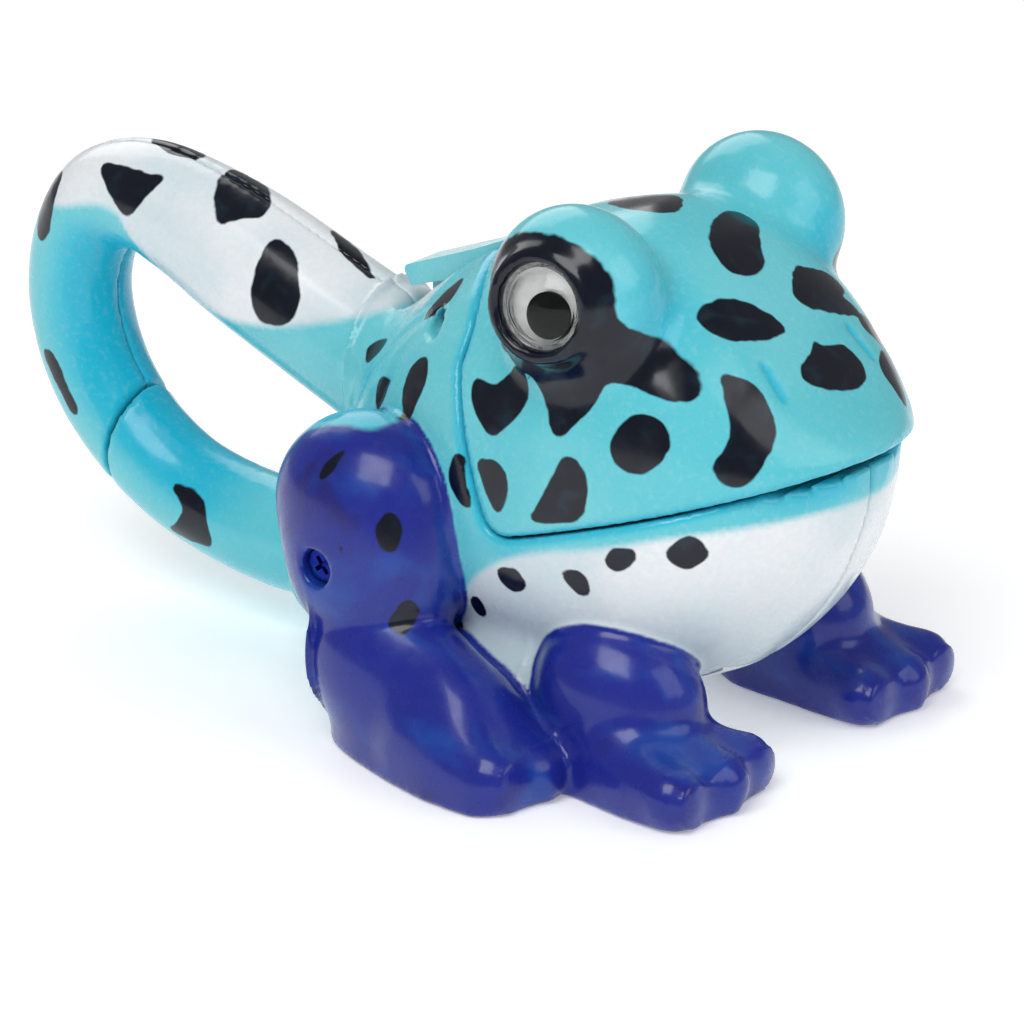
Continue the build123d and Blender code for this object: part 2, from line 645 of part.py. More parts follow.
def battery_frame():
    """The bay that holds the cells, with a post for the door's screw."""
    frame = (box_between(*FRAME_BLOCK) + box_between(*FRAME_POST)) & INSIDE
    frame = frame - box_between(*BAY) - box_between(DOOR[0], (DOOR[1][0], DOOR[1][1], 8.0))
    return largest(frame - Pos(DOOR_SCREW_X, 0, 8) * Cylinder(0.82, 9))


def battery_contacts():
    """The two spring plates that the stack sits between."""
    start = STACK_HALF + 0.02
    low = (CONTACT_LOW[0], start, CONTACT_LOW[1])
    high = (CONTACT_HIGH[0], start + CONTACT_SHEET, CONTACT_HIGH[1])
    left = box_between(low, high)
    return left, flip(left)


def battery_door():
    """The belly panel that covers the cells."""
    skin = (TORSO - CAVITY) & box_between(*DOOR)
    skin = largest(skin)
    return skin - Pos(DOOR_SCREW_X, 0, 4) * Cylinder(1.1, 12)


def battery_door_screw():
    """The little screw that stops a child opening the battery door."""
    plane = Plane(origin=(DOOR_SCREW_X, 0, DOOR_SCREW_FACE), x_dir=(1, 0, 0), z_dir=(0, 0, -1))
    return cross_head_screw(plane, 1.0, 0.8, 0.8, 5.0)


def switch_pieces():
    """The switch under the lever: base, moving leaf and fixed contact."""
    low, high = FIXED_CONTACT
    tunnel = box_between((low[0], low[1] - 0.05, low[2] - 0.02), (BIG, high[1] + 0.05, high[2] + 0.02))
    base = box_between(*SWITCH_BASE) - tunnel
    return base, box_between(*FIXED_CONTACT), box_between(*SWITCH_LEAF)


# ---- the whole toy ----------------------------------------------------------------------------
def build():
    """Every piece of the toy, by name."""
    outside = body_outside()
    parts = {
        "body_shell_right": body_half(outside, -1),
        "body_shell_left": body_half(outside, 1),
        "body_screw": body_screw(),
        "jaw_pin": hinge_pin(JAW_PIN, JAW_PIN_LENGTH),
        "gate_pin": hinge_pin(GATE_PIN, GATE_PIN_LENGTH),
        "gate": gate(),
        "jaw_spring": torsion_spring(JAW_PIN, 2.0, 2, (-30, 3.6), (215, 4.0)),
        "gate_spring": torsion_spring(GATE_PIN, 2.05, 2, (180, 3.6), (90, 3.4)),
        "head_shell": head_shell(),
        "palate": palate(),
        "thumb_lever": thumb_lever(),
        "palate_screws": palate_screws(),
        "mouth_floor": mouth_floor(),
        "led": led(),
        "led_leads": led_leads(),
        "led_holder": led_holder(),
        "circuit_board": circuit_board(),
        "battery_frame": battery_frame(),
        "battery_door": battery_door(),
        "battery_door_screw": battery_door_screw(),
    }
    for side, word in ((-1, "right"), (1, "left")):
        foil, pupil, dome = eye_pieces(side)
        parts["eye_foil_" + word] = foil
        parts["eye_pupil_" + word] = pupil
        parts["eye_dome_" + word] = dome
    for number, cell in enumerate(button_cells(), start=1):
        parts[f"button_cell_{number}"] = cell
    parts["battery_contact_left"], parts["battery_contact_right"] = battery_contacts()
    parts["switch_base"], parts["switch_contact"], parts["switch_leaf"] = switch_pieces()
    return parts


def write(name, shape):
    """Saves one piece, a single solid or a group of separate ones."""
    solids = shape if isinstance(shape, list) else [shape]
    children = [solid for piece in solids for solid in piece.solids()]
    whole = children[0] if len(children) == 1 else Compound(children=children)
    export_step(whole, os.path.join("parts", name + ".step"))


os.makedirs("parts", exist_ok=True)
for part_name, part_shape in build().items():
    write(part_name, part_shape)
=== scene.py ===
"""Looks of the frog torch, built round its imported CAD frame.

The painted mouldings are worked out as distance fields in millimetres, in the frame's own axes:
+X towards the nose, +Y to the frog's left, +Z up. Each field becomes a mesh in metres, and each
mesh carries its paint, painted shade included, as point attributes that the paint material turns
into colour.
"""

import json
from math import ceil, cos, radians, sin, tan

import bmesh
import bpy
import numpy as np
import openvdb
from mathutils import Matrix, Vector


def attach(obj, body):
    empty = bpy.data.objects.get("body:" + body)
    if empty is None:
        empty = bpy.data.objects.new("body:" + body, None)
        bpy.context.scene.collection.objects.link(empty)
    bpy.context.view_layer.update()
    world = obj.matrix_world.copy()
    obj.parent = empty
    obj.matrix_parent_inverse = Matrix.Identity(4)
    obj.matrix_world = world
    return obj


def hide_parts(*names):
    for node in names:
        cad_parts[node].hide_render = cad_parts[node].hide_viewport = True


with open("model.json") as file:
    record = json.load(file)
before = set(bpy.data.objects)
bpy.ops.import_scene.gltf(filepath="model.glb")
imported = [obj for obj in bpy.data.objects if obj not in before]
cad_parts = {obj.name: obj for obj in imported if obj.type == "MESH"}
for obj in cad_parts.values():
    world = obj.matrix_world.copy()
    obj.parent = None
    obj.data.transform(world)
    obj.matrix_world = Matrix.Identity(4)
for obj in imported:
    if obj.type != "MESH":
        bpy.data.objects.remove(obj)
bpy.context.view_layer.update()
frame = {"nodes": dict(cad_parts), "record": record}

MM = 0.001
STEP = 0.38  # spacing of the distance fields
WALL = 1.8  # body shell thickness
LID_WALL = 1.6  # head shell thickness
LOOP_WALL = 1.7
SEAM = 0.3  # between the gate and the hook
LID_SEAM = 0.22  # round the head lid
FAR = 60.0  # beyond the toy in every direction

# ---- the toy's own dimensions ---------------------------------------------------------------
# Torso and head: x, half width, top, bottom, widest level, fullness of the upper side
TORSO = [
    (-5.2, 0.0, 19.3, 19.3, 19.3, 2.0),
    (-3.0, 8.8, 30.2, 8.4, 19.3, 2.0),
    (0.0, 11.8, 33.4, 5.5, 19.4, 2.0),
    (5.0, 14.6, 37.4, 4.8, 20.0, 2.0),
    (10.0, 16.3, 40.6, 4.5, 20.5, 2.05),
    (16.0, 17.3, 43.4, 4.4, 21.0, 2.15),
    (22.0, 17.6, 44.7, 4.6, 21.5, 2.3),
    (28.0, 17.0, 43.2, 5.6, 22.5, 2.5),
    (33.0, 15.5, 39.4, 7.6, 23.6, 2.7),
    (37.0, 13.2, 35.2, 10.4, 24.8, 2.7),
    (40.0, 10.6, 32.2, 13.6, 25.8, 2.5),
    (42.4, 7.0, 29.9, 18.0, 26.6, 2.2),
    (43.7, 3.7, 28.6, 22.4, 27.0, 2.0),
    (44.2, 0.0, 27.2, 27.2, 27.2, 2.0),
]
BELLY_FULLNESS = 2.15
# Carabiner loop: x, z, radius, from the neck round to the gate's hinge
LOOP = [
    (2.5, 22.5, 6.3),
    (-4.0, 25.4, 6.3),
    (-11.4, 28.5, 6.15),
    (-20.5, 32.4, 5.95),
    (-26.4, 34.7, 5.4),
    (-31.5, 35.9, 4.95),
    (-36.0, 34.9, 4.7),
    (-38.6, 31.4, 4.58),
    (-39.65, 26.7, 4.55),
    (-38.9, 21.8, 4.55),
    (-36.6, 17.2, 4.5),
    (-32.5, 13.0, 4.42),
    (-26.7, 9.8, 4.46),
    (-17.8, 7.9, 4.7),
    (-8.0, 7.9, 4.75),
]
HOOK_STATIONS = 11  # how many of them the hollow of the hook runs through
# Feet: x, y, half width, height
HIND_FOOT = [
    (2.9, -18.6, 0.0, 0.0),
    (5.8, -18.8, 3.0, 7.4),
    (9.0, -19.0, 4.4, 10.2),
    (14.0, -19.5, 5.8, 11.4),
    (18.5, -20.1, 6.4, 9.8),
    (22.4, -20.4, 6.3, 6.3),
    (25.4, -20.2, 0.0, 0.0),
]
FRONT_FOOT = [
    (19.6, -13.4, 0.0, 0.0),
    (21.4, -13.5, 2.8, 4.8),
    (24.0, -13.6, 4.4, 7.2),
    (29.0, -13.8, 5.4, 7.4),
    (33.6, -13.9, 6.0, 5.4),
    (37.0, -13.9, 5.4, 3.8),
    (39.0, -13.9, 0.0, 0.0),
]
# Toes: from (x, y, z) to (x, y, z), radius at the root and at the tip
HIND_TOES = [
    ((15.0, -21.8, 3.4), (22.9, -23.9, 2.6), 2.9, 2.6),
    ((17.5, -20.6, 3.6), (24.4, -20.2, 2.3), 2.6, 2.3),
    ((17.0, -18.0, 3.2), (23.8, -16.6, 2.2), 2.4, 2.2),
]
FRONT_TOES = [
    ((30.0, -16.4, 3.2), (36.6, -18.7, 2.5), 2.8, 2.5),
    ((31.0, -14.1, 3.4), (37.8, -13.6, 2.4), 2.6, 2.4),
    ((30.5, -11.4, 3.0), (36.8, -8.9, 2.4), 2.5, 2.4),
]
# Folds in the skin beside the arm, each along a few points on the right side
CREASES = [
    [(-3.0, -8.8, 24.4), (-1.0, -8.3, 29.0), (1.6, -8.5, 31.4), (4.4, -8.7, 33.9)],
    [(2.1, -12.3, 26.2), (3.3, -10.9, 30.4)],
]
CREASE_RADIUS = 0.4
NOSTRIL = ((36.7, -6.2, 35.2), (38.7, -6.6, 32.9))
CHIN_SLIMMING = 1.25  # how much slimmer the body gets towards the chin
# Round masses: middle, half sizes
THIGH = ((5.0, -16.2, 19.9), (8.5, 6.6, 7.8))
SHIN = ((6.2, -17.0, 14.6), (7.9, 6.0, 6.8))
HEEL = ((8.1, -18.7, 7.8), (6.6, 4.9, 6.0))
UPPER_ARM = ((26.4, -13.6, 7.6), (5.8, 4.8, 6.4))
LOWER_ARM = ((29.7, -12.4, 6.6), (5.2, 4.6, 5.6))
FLANK = ((17.0, -11.5, 6.2), (9.5, 5.2, 5.0))
EYE_BUMP = ((23.3, -13.2, 40.4), (7.3, 6.0, 7.2))
# Jaw hinge and the lid's outline in side view
JAW_PIN = (7.2, 34.0)
PIN_HOLE = 1.02  # radius
JAW_BOSS_RADIUS = 2.3
JAW_EAR_RADIUS = 2.4
JAW_EAR_END = 5.8  # the ears and the bosses meet this far from the middle
JAW_BOSS_END = 9.6
LID_ARC_RADIUS = 5.2
LID_ARC = (-15.0, 88.0)
LID_CORNER = 2.6  # how far the lid's lower corner is rounded
MOUTH_POINT = (27.3, 22.4)
MOUTH_ANGLE = radians(16.6)
MOUTH_BACK = (17.54, 19.49)
DECK = (18.6, 0.15, 1.7)  # mouth deck: first x, top and underside below the mouth line
# Gate and hook, both parted on an arc round the gate's pin
GATE_PIN = (-7.0, 8.0)
GATE_SEAM_RADIUS = 27.1
GATE_LIMB_TOP = 20.0
GATE_LIMB_END = (-4.0, -8.0)  # the hook's side and the gate's side
GATE_END = 4.8  # the thick part of the gate stops this far behind its pin
GATE_PIN_HOLE = 1.05
GATE_NOTCH = ((-35.2, -1.7, 0.0), (-31.1, 1.7, 12.1))
STOP_TONGUE = ((-35.2, -1.4, 10.6), (-31.6, 1.4, 12.0))
KNUCKLE_RADIUS = 2.6
KNUCKLE_HALF = 1.8
CHEEK_RADIUS = 3.8
CHEEK_ROUNDING = 0.2
CHEEK_INNER = 3.6
CHEEK_OUTER = 7.6
CHEEK_GAP_RADIUS = 2.95
# Lever slot, battery door, inner ledge and screw
SLOT_HALF = 2.7
SLOT_SIDE = [
    (-3.6, 33.0), (-2.4, 31.4), (0.0, 31.0), (0.0, 28.4), (4.0, 28.4),
    (14.0, 33.0), (14.0, 50.0), (-3.6, 50.0),
]
DOOR = ((14.05, -5.75, -5.0), (32.75, 5.75, 9.6))
SHELF = ((8.0, -13.0, 24.4), (14.2, 0.0, 25.4))
KNEE_SCREW = (4.2, 16.0)
SCREW_POST_RADIUS = 2.5
SCREW_POST_END = 13.0
SCREW_HOLE = (1.55, -20.6)  # radius, and how far in it goes
# Eyes
EYE_CENTRE = (23.3, 17.9, 40.6)
EYE_FACING = (0.12, 0.98, 0.12)
EYE_RADIUS = 3.5
EYE_SEAT_GAP = 0.08
EYE_SEAT_DEPTH = 1.3
EYE_RIM = (0.5, 0.1, 0.75)  # outside the eye, below its face, thickness
HEAD_POST = (23.6, -7.5, 1.9)  # x, y, radius
HEAD_POST_LOW = 8.15  # above the mouth line


# ---- distance fields ------------------------------------------------------------------------
class Space:
    """A block of sample points, as three arrays that broadcast together."""

    def __init__(self, low, high, step=STEP):
        self.low = np.array(low, float)
        self.step = step
        counts = [int(round((h - l) / step)) + 1 for l, h in zip(low, high)]
        axes = [l + step * np.arange(n) for l, n in zip(low, counts)]
        self.x = axes[0].astype(np.float32).reshape(-1, 1, 1)
        self.y = axes[1].astype(np.float32).reshape(1, -1, 1)
        self.z = axes[2].astype(np.float32).reshape(1, 1, -1)


class Points:
    """Loose sample points, such as a mesh's vertices in millimetres."""

    def __init__(self, at):
        self.x, self.y, self.z = at[:, 0], at[:, 1], at[:, 2]
        self.step = None


def union(a, b, blend=0.0):
    """The nearer of two fields, with a fillet of that size between them."""
    if not blend:
        return np.minimum(a, b)
    share = np.clip(0.5 + 0.5 * (b - a) / blend, 0, 1)
    return b + (a - b) * share - blend * share * (1 - share)


def common(a, b, blend=0.0):
    """What two fields share, with its edge rounded."""
    return -union(-a, -b, blend)


def ramp(value, low, high):
    """0 below low, 1 above high, smooth between."""
    t = np.clip((value - low) / (high - low), 0, 1)
    return t * t * (3 - 2 * t)


def curve_through(xs, ys, at, free=False):
    """A smooth curve through points, which never swings past them unless it is free to."""
    xs, ys = np.array(xs, float), np.array(ys, float)
    run = np.diff(xs)
    slope = np.diff(ys) / run
    tangent = np.zeros_like(ys)
    tangent[0], tangent[-1] = slope[0], slope[-1]
    for i in range(1, len(xs) - 1):
        if free:
            tangent[i] = (ys[i + 1] - ys[i - 1]) / (xs[i + 1] - xs[i - 1])
        elif slope[i - 1] * slope[i] > 0:
            a, b = 2 * run[i] + run[i - 1], run[i] + 2 * run[i - 1]
            tangent[i] = (a + b) / (a / slope[i - 1] + b / slope[i])
    at = np.clip(at, xs[0], xs[-1])
    i = np.clip(np.searchsorted(xs, at) - 1, 0, len(run) - 1)
    t = (at - xs[i]) / run[i]
    return (
        ys[i] * (1 + 2 * t) * (1 - t) ** 2
        + tangent[i] * run[i] * t * (1 - t) ** 2
        + ys[i + 1] * t * t * (3 - 2 * t)
        + tangent[i + 1] * run[i] * t * t * (t - 1)
    )


def evened(space, field):
    """A field scaled so that it grows by one millimetre per millimetre near its surface."""
    if space.step is None:
        return field
    steep = np.sqrt(sum(g * g for g in np.gradient(field, space.step)))
    return (field / np.clip(steep, 0.4, 40)).astype(np.float32)


def sizes_along(stations, x, *columns):
    """Sizes between stations: interpolated as squares, so that an end closes as a round one."""
    xs = [s[0] for s in stations]
    found = []
    for column in columns:
        squares = [column(s) ** 2 for s in stations]
        found.append(np.sqrt(np.maximum(curve_through(xs, squares, x), 0.0025)))
    return found


def capped(space, stations, field):
    """A field that ends with its stations, instead of running on as a thin needle."""
    return np.maximum(field, np.maximum(stations[0][0] - space.x, space.x - stations[-1][0]))


def torso(space):
    """The torso and head as one smooth rounded form."""
    xs = [s[0] for s in TORSO]
    half, up, down = sizes_along(
        TORSO, space.x, lambda s: s[1], lambda s: s[2] - s[4], lambda s: s[4] - s[3]
    )
    level = curve_through(xs, [s[4] for s in TORSO], space.x)
    full = curve_through(xs, [s[5] for s in TORSO], space.x)
    rise = space.z - level
    above = rise > 0
    height = np.where(above, up, down)
    power = np.where(above, full, BELLY_FULLNESS)
    across = np.abs(space.y) / half
    oval = (across**power + np.abs(rise / height) ** power) ** (1 / power)
    field = ((oval - 1) * np.minimum(half, height)).astype(np.float32)
    return capped(space, TORSO, evened(space, field))


def loop(space, first=0, last=None):
    """The carabiner loop as a round bar of changing radius."""
    stations = np.array(LOOP[first:last])
    run = np.concatenate([[0], np.cumsum(np.hypot(*np.diff(stations[:, :2], axis=0).T))])
    along = np.linspace(0, run[-1], 160)
    cx, cz, cr = [curve_through(run, stations[:, i], along, free=True) for i in range(3)]
    flat_x, flat_z = np.broadcast_arrays(space.x, space.z)
    best = np.full(flat_x.shape, 1e9)
    radius = np.zeros(flat_x.shape)
    for x, z, r in zip(cx, cz, cr):
        far = (flat_x - x) ** 2 + (flat_z - z) ** 2
        nearer = far < best
        best[nearer] = far[nearer]
        radius[nearer] = r
    return (np.sqrt(best + space.y**2) - radius).astype(np.float32)


def ellipsoid(space, centre, size):
    offset = [space.x - centre[0], space.y - centre[1], space.z - centre[2]]
    near = np.sqrt(sum((o / s) ** 2 for o, s in zip(offset, size)))
    steep = np.sqrt(sum((o / s**2) ** 2 for o, s in zip(offset, size)))
    return near * (near - 1) / np.maximum(steep, 0.01)


def capsule(space, start, end, root, tip):
    """A round bar between two points, tapering from its root to its tip."""
    a, b = np.array(start, float), np.array(end, float)
    way = b - a
    dot = (space.x - a[0]) * way[0] + (space.y - a[1]) * way[1] + (space.z - a[2]) * way[2]
    t = np.clip(dot / way.dot(way), 0, 1)
    gap = [space.x - a[0] - t * way[0], space.y - a[1] - t * way[1], space.z - a[2] - t * way[2]]
    return np.sqrt(sum(g * g for g in gap)) - (root + (tip - root) * t)


def block(space, low, high):
    """A box between two corners."""
    outside = [
        np.maximum(l - at, at - h)
        for at, l, h in zip((space.x, space.y, space.z), low, high)
    ]
    return np.maximum(np.maximum(outside[0], outside[1]), outside[2])


def disc(space, centre, radius, y_low, y_high):
    """A cylinder across the toy."""
    round_part = np.hypot(space.x - centre[0], space.z - centre[1]) - radius
    return np.maximum(round_part, np.maximum(y_low - space.y, space.y - y_high))


def outline_2d(x, z, corners):
    """Distance from a closed side-view outline, negative inside it."""
    inside = np.zeros(np.broadcast(x, z).shape, bool)
    best = np.full(inside.shape, 1e9)
    for (ax, az), (bx, bz) in zip(corners, corners[1:] + corners[:1]):
        way_x, way_z = bx - ax, bz - az
        t = np.clip(((x - ax) * way_x + (z - az) * way_z) / (way_x**2 + way_z**2), 0, 1)
        best = np.minimum(best, (x - ax - t * way_x) ** 2 + (z - az - t * way_z) ** 2)
        crosses = (az > z) != (bz > z)
        if way_z:
            inside ^= crosses & (x < ax + (z - az) * way_x / way_z)
    return np.where(inside, -1, 1) * np.sqrt(best)


def foot(space, stations):
    """A foot with a flat sole and a rounded back."""
    half, height = sizes_along(stations, space.x, lambda s: s[2], lambda s: s[3])
    middle = curve_through([s[0] for s in stations], [s[1] for s in stations], space.x)
    oval = np.sqrt(((space.y - middle) / half) ** 2 + (space.z / height) ** 2)
    field = ((oval - 1) * np.minimum(half, height)).astype(np.float32)
    return capped(space, stations, evened(space, field))


def mouth_z(x):
    return MOUTH_POINT[1] + (x - MOUTH_POINT[0]) * tan(MOUTH_ANGLE)


def over_mouth(space):
    """Height above the mouth line, square to it."""
    return (space.z - mouth_z(space.x)) * cos(MOUTH_ANGLE)


def lid_corners():
    """The side view of the space that the head lid takes."""
    corner = Vector(MOUTH_BACK)
    low, high = LID_ARC
    arc = [radians(low + (high - low) * i / 24) for i in range(25)]
    seam = [
        (JAW_PIN[0] + LID_ARC_RADIUS * cos(a), JAW_PIN[1] + LID_ARC_RADIUS * sin(a)) for a in arc
    ]
    down = (corner - Vector(seam[0])).normalized()
    ahead = Vector((cos(MOUTH_ANGLE), sin(MOUTH_ANGLE)))
    start, end = corner - down * LID_CORNER, corner + ahead * LID_CORNER
    bend = []
    for i in range(9):
        t = i / 8
        bend.append(tuple(start * (1 - t) ** 2 + corner * 2 * t * (1 - t) + end * t * t))
    return [*seam[::-1], *bend, (FAR, mouth_z(FAR)), (FAR, FAR), (seam[-1][0], FAR)]


def lid_space(space):
    return outline_2d(space.x, space.z, lid_corners()).astype(np.float32)


def hind_leg(space):
    """An egg-shaped knee that rests on a wedge-shaped foot, with a crease between them."""
    knee = union(ellipsoid(space, *THIGH), ellipsoid(space, *SHIN), 2.6)
    sole = union(ellipsoid(space, *HEEL), foot(space, HIND_FOOT), 3.0)
    for start, end, root, tip in HIND_TOES:
        sole = union(sole, capsule(space, start, end, root, tip), 2.4)
    return union(knee, sole, 0.7)


def front_leg(space):
    """A round upper arm over a broad foot with three toes."""
    arm = union(ellipsoid(space, *UPPER_ARM), ellipsoid(space, *LOWER_ARM), 3.0)
    shape = union(arm, foot(space, FRONT_FOOT), 2.2)
    for start, end, root, tip in FRONT_TOES:
        shape = union(shape, capsule(space, start, end, root, tip), 2.0)
    return shape


def creases(space):
    """The moulded folds in the skin between the arm and the head."""
    folds = 99.0
    for line in CREASES:
        for start, end in zip(line, line[1:]):
            folds = union(folds, capsule(space, start, end, CREASE_RADIUS, CREASE_RADIUS))
    return folds


def trunk(space):
    """The body's part of the torso, slimmer at the chin than the head above it."""
    return torso(space) + CHIN_SLIMMING * ramp(space.x, 31.0, 42.5)


def from_pin(space, pin):
    """Distance from a hinge pin's axis, in side view."""
    return np.hypot(space.x - pin[0], space.z - pin[1])


def gate_limb(space, end):
    """The space of the loop's lower limb, as far forward as end."""
    within_arc = from_pin(space, GATE_PIN) - GATE_SEAM_RADIUS
    return np.maximum(np.maximum(within_arc, space.z - GATE_LIMB_TOP), space.x - end)


def body_solid(space):
    """The body before it is hollowed: torso, hook arm and gate cheeks."""
    hook = common(loop(space), SEAM / 2 - gate_limb(space, GATE_LIMB_END[0]), 0.35)
    hook = union(hook, block(space, *STOP_TONGUE))
    shape = union(union(trunk(space), ellipsoid(space, *FLANK), 2.5), hook, 3.4)
    for low, high in ((-CHEEK_OUTER, -CHEEK_INNER), (CHEEK_INNER, CHEEK_OUTER)):
        ends = (low + CHEEK_ROUNDING, high - CHEEK_ROUNDING)
        cheek = disc(space, GATE_PIN, CHEEK_RADIUS, *ends) - CHEEK_ROUNDING
        root = block(space, (-7.0, low, 5.2), (1.0, high, 11.0))
        shape = union(shape, union(cheek, root, 0.6), 0.8)
    knuckle_gap = disc(space, GATE_PIN, CHEEK_GAP_RADIUS, -CHEEK_INNER, CHEEK_INNER)
    shape = common(shape, -knuckle_gap, 0.3)
    return common(shape, -creases(space), 0.6)


def body_shell(space):
    """One half of the body, hollow, with the lid's space and the slots taken out."""
    shape = union(body_solid(space), hind_leg(space), 0.7)
    shape = union(shape, front_leg(space), 1.1)
    shape = common(shape, -space.z, 0.5)
    hollow = union(trunk(space) + WALL, loop(space, 0, HOOK_STATIONS) + LOOP_WALL, 1.0)
    bosses = disc(space, JAW_PIN, JAW_BOSS_RADIUS, -JAW_BOSS_END, -JAW_EAR_END)
    post = disc(space, KNEE_SCREW, SCREW_POST_RADIUS, -SCREW_POST_END, 0.0)
    bosses = union(union(bosses, post), block(space, *SHELF))
    hollow = np.maximum(hollow, -bosses)
    shape = common(shape, -hollow, 0.3)
    shape = common(shape, -lid_space(space), 0.5)
    slot = outline_2d(space.x, space.z, SLOT_SIDE)
    slot = common(slot, np.abs(space.y) - SLOT_HALF, 0.3)
    shape = common(shape, -slot, 0.5)
    shape = common(shape, -block(space, *DOOR), 0.2)
    ears = disc(space, JAW_PIN, JAW_EAR_RADIUS, -JAW_EAR_END, JAW_EAR_END)
    shape = np.maximum(shape, -ears)
    for pin in (JAW_PIN, GATE_PIN):
        shape = np.maximum(shape, PIN_HOLE - from_pin(space, pin))
    return common(shape, space.y + 0.05, 0.25)


def head_shell(space):
    """The head and upper jaw, with an eye bump on each side and an eye seat in each."""
    outside = torso(space)
    form = union(outside, ellipsoid(space, *EYE_BUMP), 2.4)
    shape = common(form, lid_space(space) + LID_SEAM, 0.5)
    shape = common(shape, -(outside + LID_WALL), 0.3)
    facing = Vector((EYE_FACING[0], -EYE_FACING[1], EYE_FACING[2])).normalized()
    centre = (EYE_CENTRE[0], -EYE_CENTRE[1], EYE_CENTRE[2])
    along = sum(f * (at - c) for f, at, c in zip(facing, (space.x, space.y, space.z), centre))
    square = (space.x - centre[0]) ** 2 + (space.y - centre[1]) ** 2 + (space.z - centre[2]) ** 2
    aside = np.sqrt(np.maximum(square - along**2, 0))
    rim_out, rim_down, rim_thick = EYE_RIM
    rim = np.hypot(aside - (EYE_RADIUS + rim_out), (along + rim_down) * 0.8) - rim_thick
    shape = union(shape, rim, 0.8)
    seat = np.maximum(aside - (EYE_RADIUS + EYE_SEAT_GAP), -EYE_SEAT_DEPTH - along)
    shape = common(shape, -seat, 0.25)
    shape = common(shape, -capsule(space, *NOSTRIL, 0.46, 0.34), 0.3)
    post_x, post_y, post_radius = HEAD_POST
    lean = (space.z - 30.0) * 0.3  # the post stands square to the mouth line
    post = np.hypot(space.x - post_x + lean, space.y - post_y) - post_radius
    post = np.maximum(np.maximum(post, HEAD_POST_LOW - over_mouth(space)), outside)
    return union(shape, post, 0.3)


def mouth_deck(space):
    """The deck that closes the lower jaw, just below the mouth line."""
    above = over_mouth(space)
    back, top, underside = DECK
    band = np.maximum(above + top, -underside - above)
    shape = common(trunk(space) + WALL + 0.15, band, 0.2)
    return np.maximum(shape, back - space.x)


def gate_shape(space):
    """The sprung limb with its knuckle."""
    bar = common(loop(space), gate_limb(space, GATE_LIMB_END[1]) + SEAM / 2, 0.4)
    thick = common(bar, space.x - GATE_PIN[0] + GATE_END, 0.9)
    tongue = common(bar, np.abs(space.y) - KNUCKLE_HALF, 0.2)
    knuckle = disc(space, GATE_PIN, KNUCKLE_RADIUS, -KNUCKLE_HALF, KNUCKLE_HALF)
    web = block(space, (-11.8, -KNUCKLE_HALF, 5.4), (-7.0, KNUCKLE_HALF, 10.6))
    shape = union(union(thick, tongue, 0.4), union(knuckle, web))
    shape = np.maximum(shape, GATE_PIN_HOLE - from_pin(space, GATE_PIN))
    return np.maximum(shape, -block(space, *GATE_NOTCH))


# ---- meshes ---------------------------------------------------------------------------------
def right_half(low, high):
    """A space that reaches out from the middle plane, with its last layer on that plane."""
    layers = ceil(-low[1] / STEP)
    return Space((low[0], -layers * STEP, low[2]), (high[0], 0.0, high[2]))


def mirrored(field):
    """A field over the right half, made whole about its last layer, the middle plane."""
    return np.concatenate([field, field[:, -2::-1]], axis=1)


def surface(name, space, field):
    """The mesh of a field's zero level."""
    grid = openvdb.FloatGrid(10.0)
    grid.copyFromArray(np.ascontiguousarray(field, dtype=np.float32))
    points, quads = grid.convertToQuads(isovalue=0.0)
    at = (points * space.step + space.low) * MM
    mesh = bpy.data.meshes.new(name)
    mesh.from_pydata(at.tolist(), [], quads[:, ::-1].tolist())
    return smoothed(name, mesh)


def smoothed(name, mesh):
    """An object for a mesh, shaded smooth, with its faces turned outwards."""
    form = bmesh.new()
    form.from_mesh(mesh)
    bmesh.ops.remove_doubles(form, verts=form.verts, dist=1e-6)
    if form.calc_volume(signed=True) < 0:
        bmesh.ops.reverse_faces(form, faces=form.faces)
    form.to_mesh(mesh)
    form.free()
    mesh.polygons.foreach_set("use_smooth", [True] * len(mesh.polygons))
    mesh.update()
    piece = bpy.data.objects.new(name, mesh)
    bpy.context.scene.collection.objects.link(piece)
    return piece


def flipped(piece, name):
    """The same mesh on the frog's other side."""
    mesh = piece.data.copy()
    mesh.name = name
    mesh.transform(Matrix.Scale(-1, 4, (0, 1, 0)))
    mesh.flip_normals()
    other = bpy.data.objects.new(name, mesh)
    bpy.context.scene.collection.objects.link(other)
    return other


def vertices(piece):
    at = np.zeros(len(piece.data.vertices) * 3)
    piece.data.vertices.foreach_get("co", at)
    return at.reshape(-1, 3) / MM


def set_attribute(piece, name, values):
    layer = piece.data.attributes.new(name, "FLOAT", "POINT")
    values = np.broadcast_to(values, len(piece.data.vertices))
    layer.data.foreach_set("value", values.astype(np.float32))


LOOP_HOLE = (-24.0, 22.0)  # the middle of the loop's hole: x, z
HALF = Space((-45.6, -28.2, -1.2), (45.6, 1.52, 49.0))


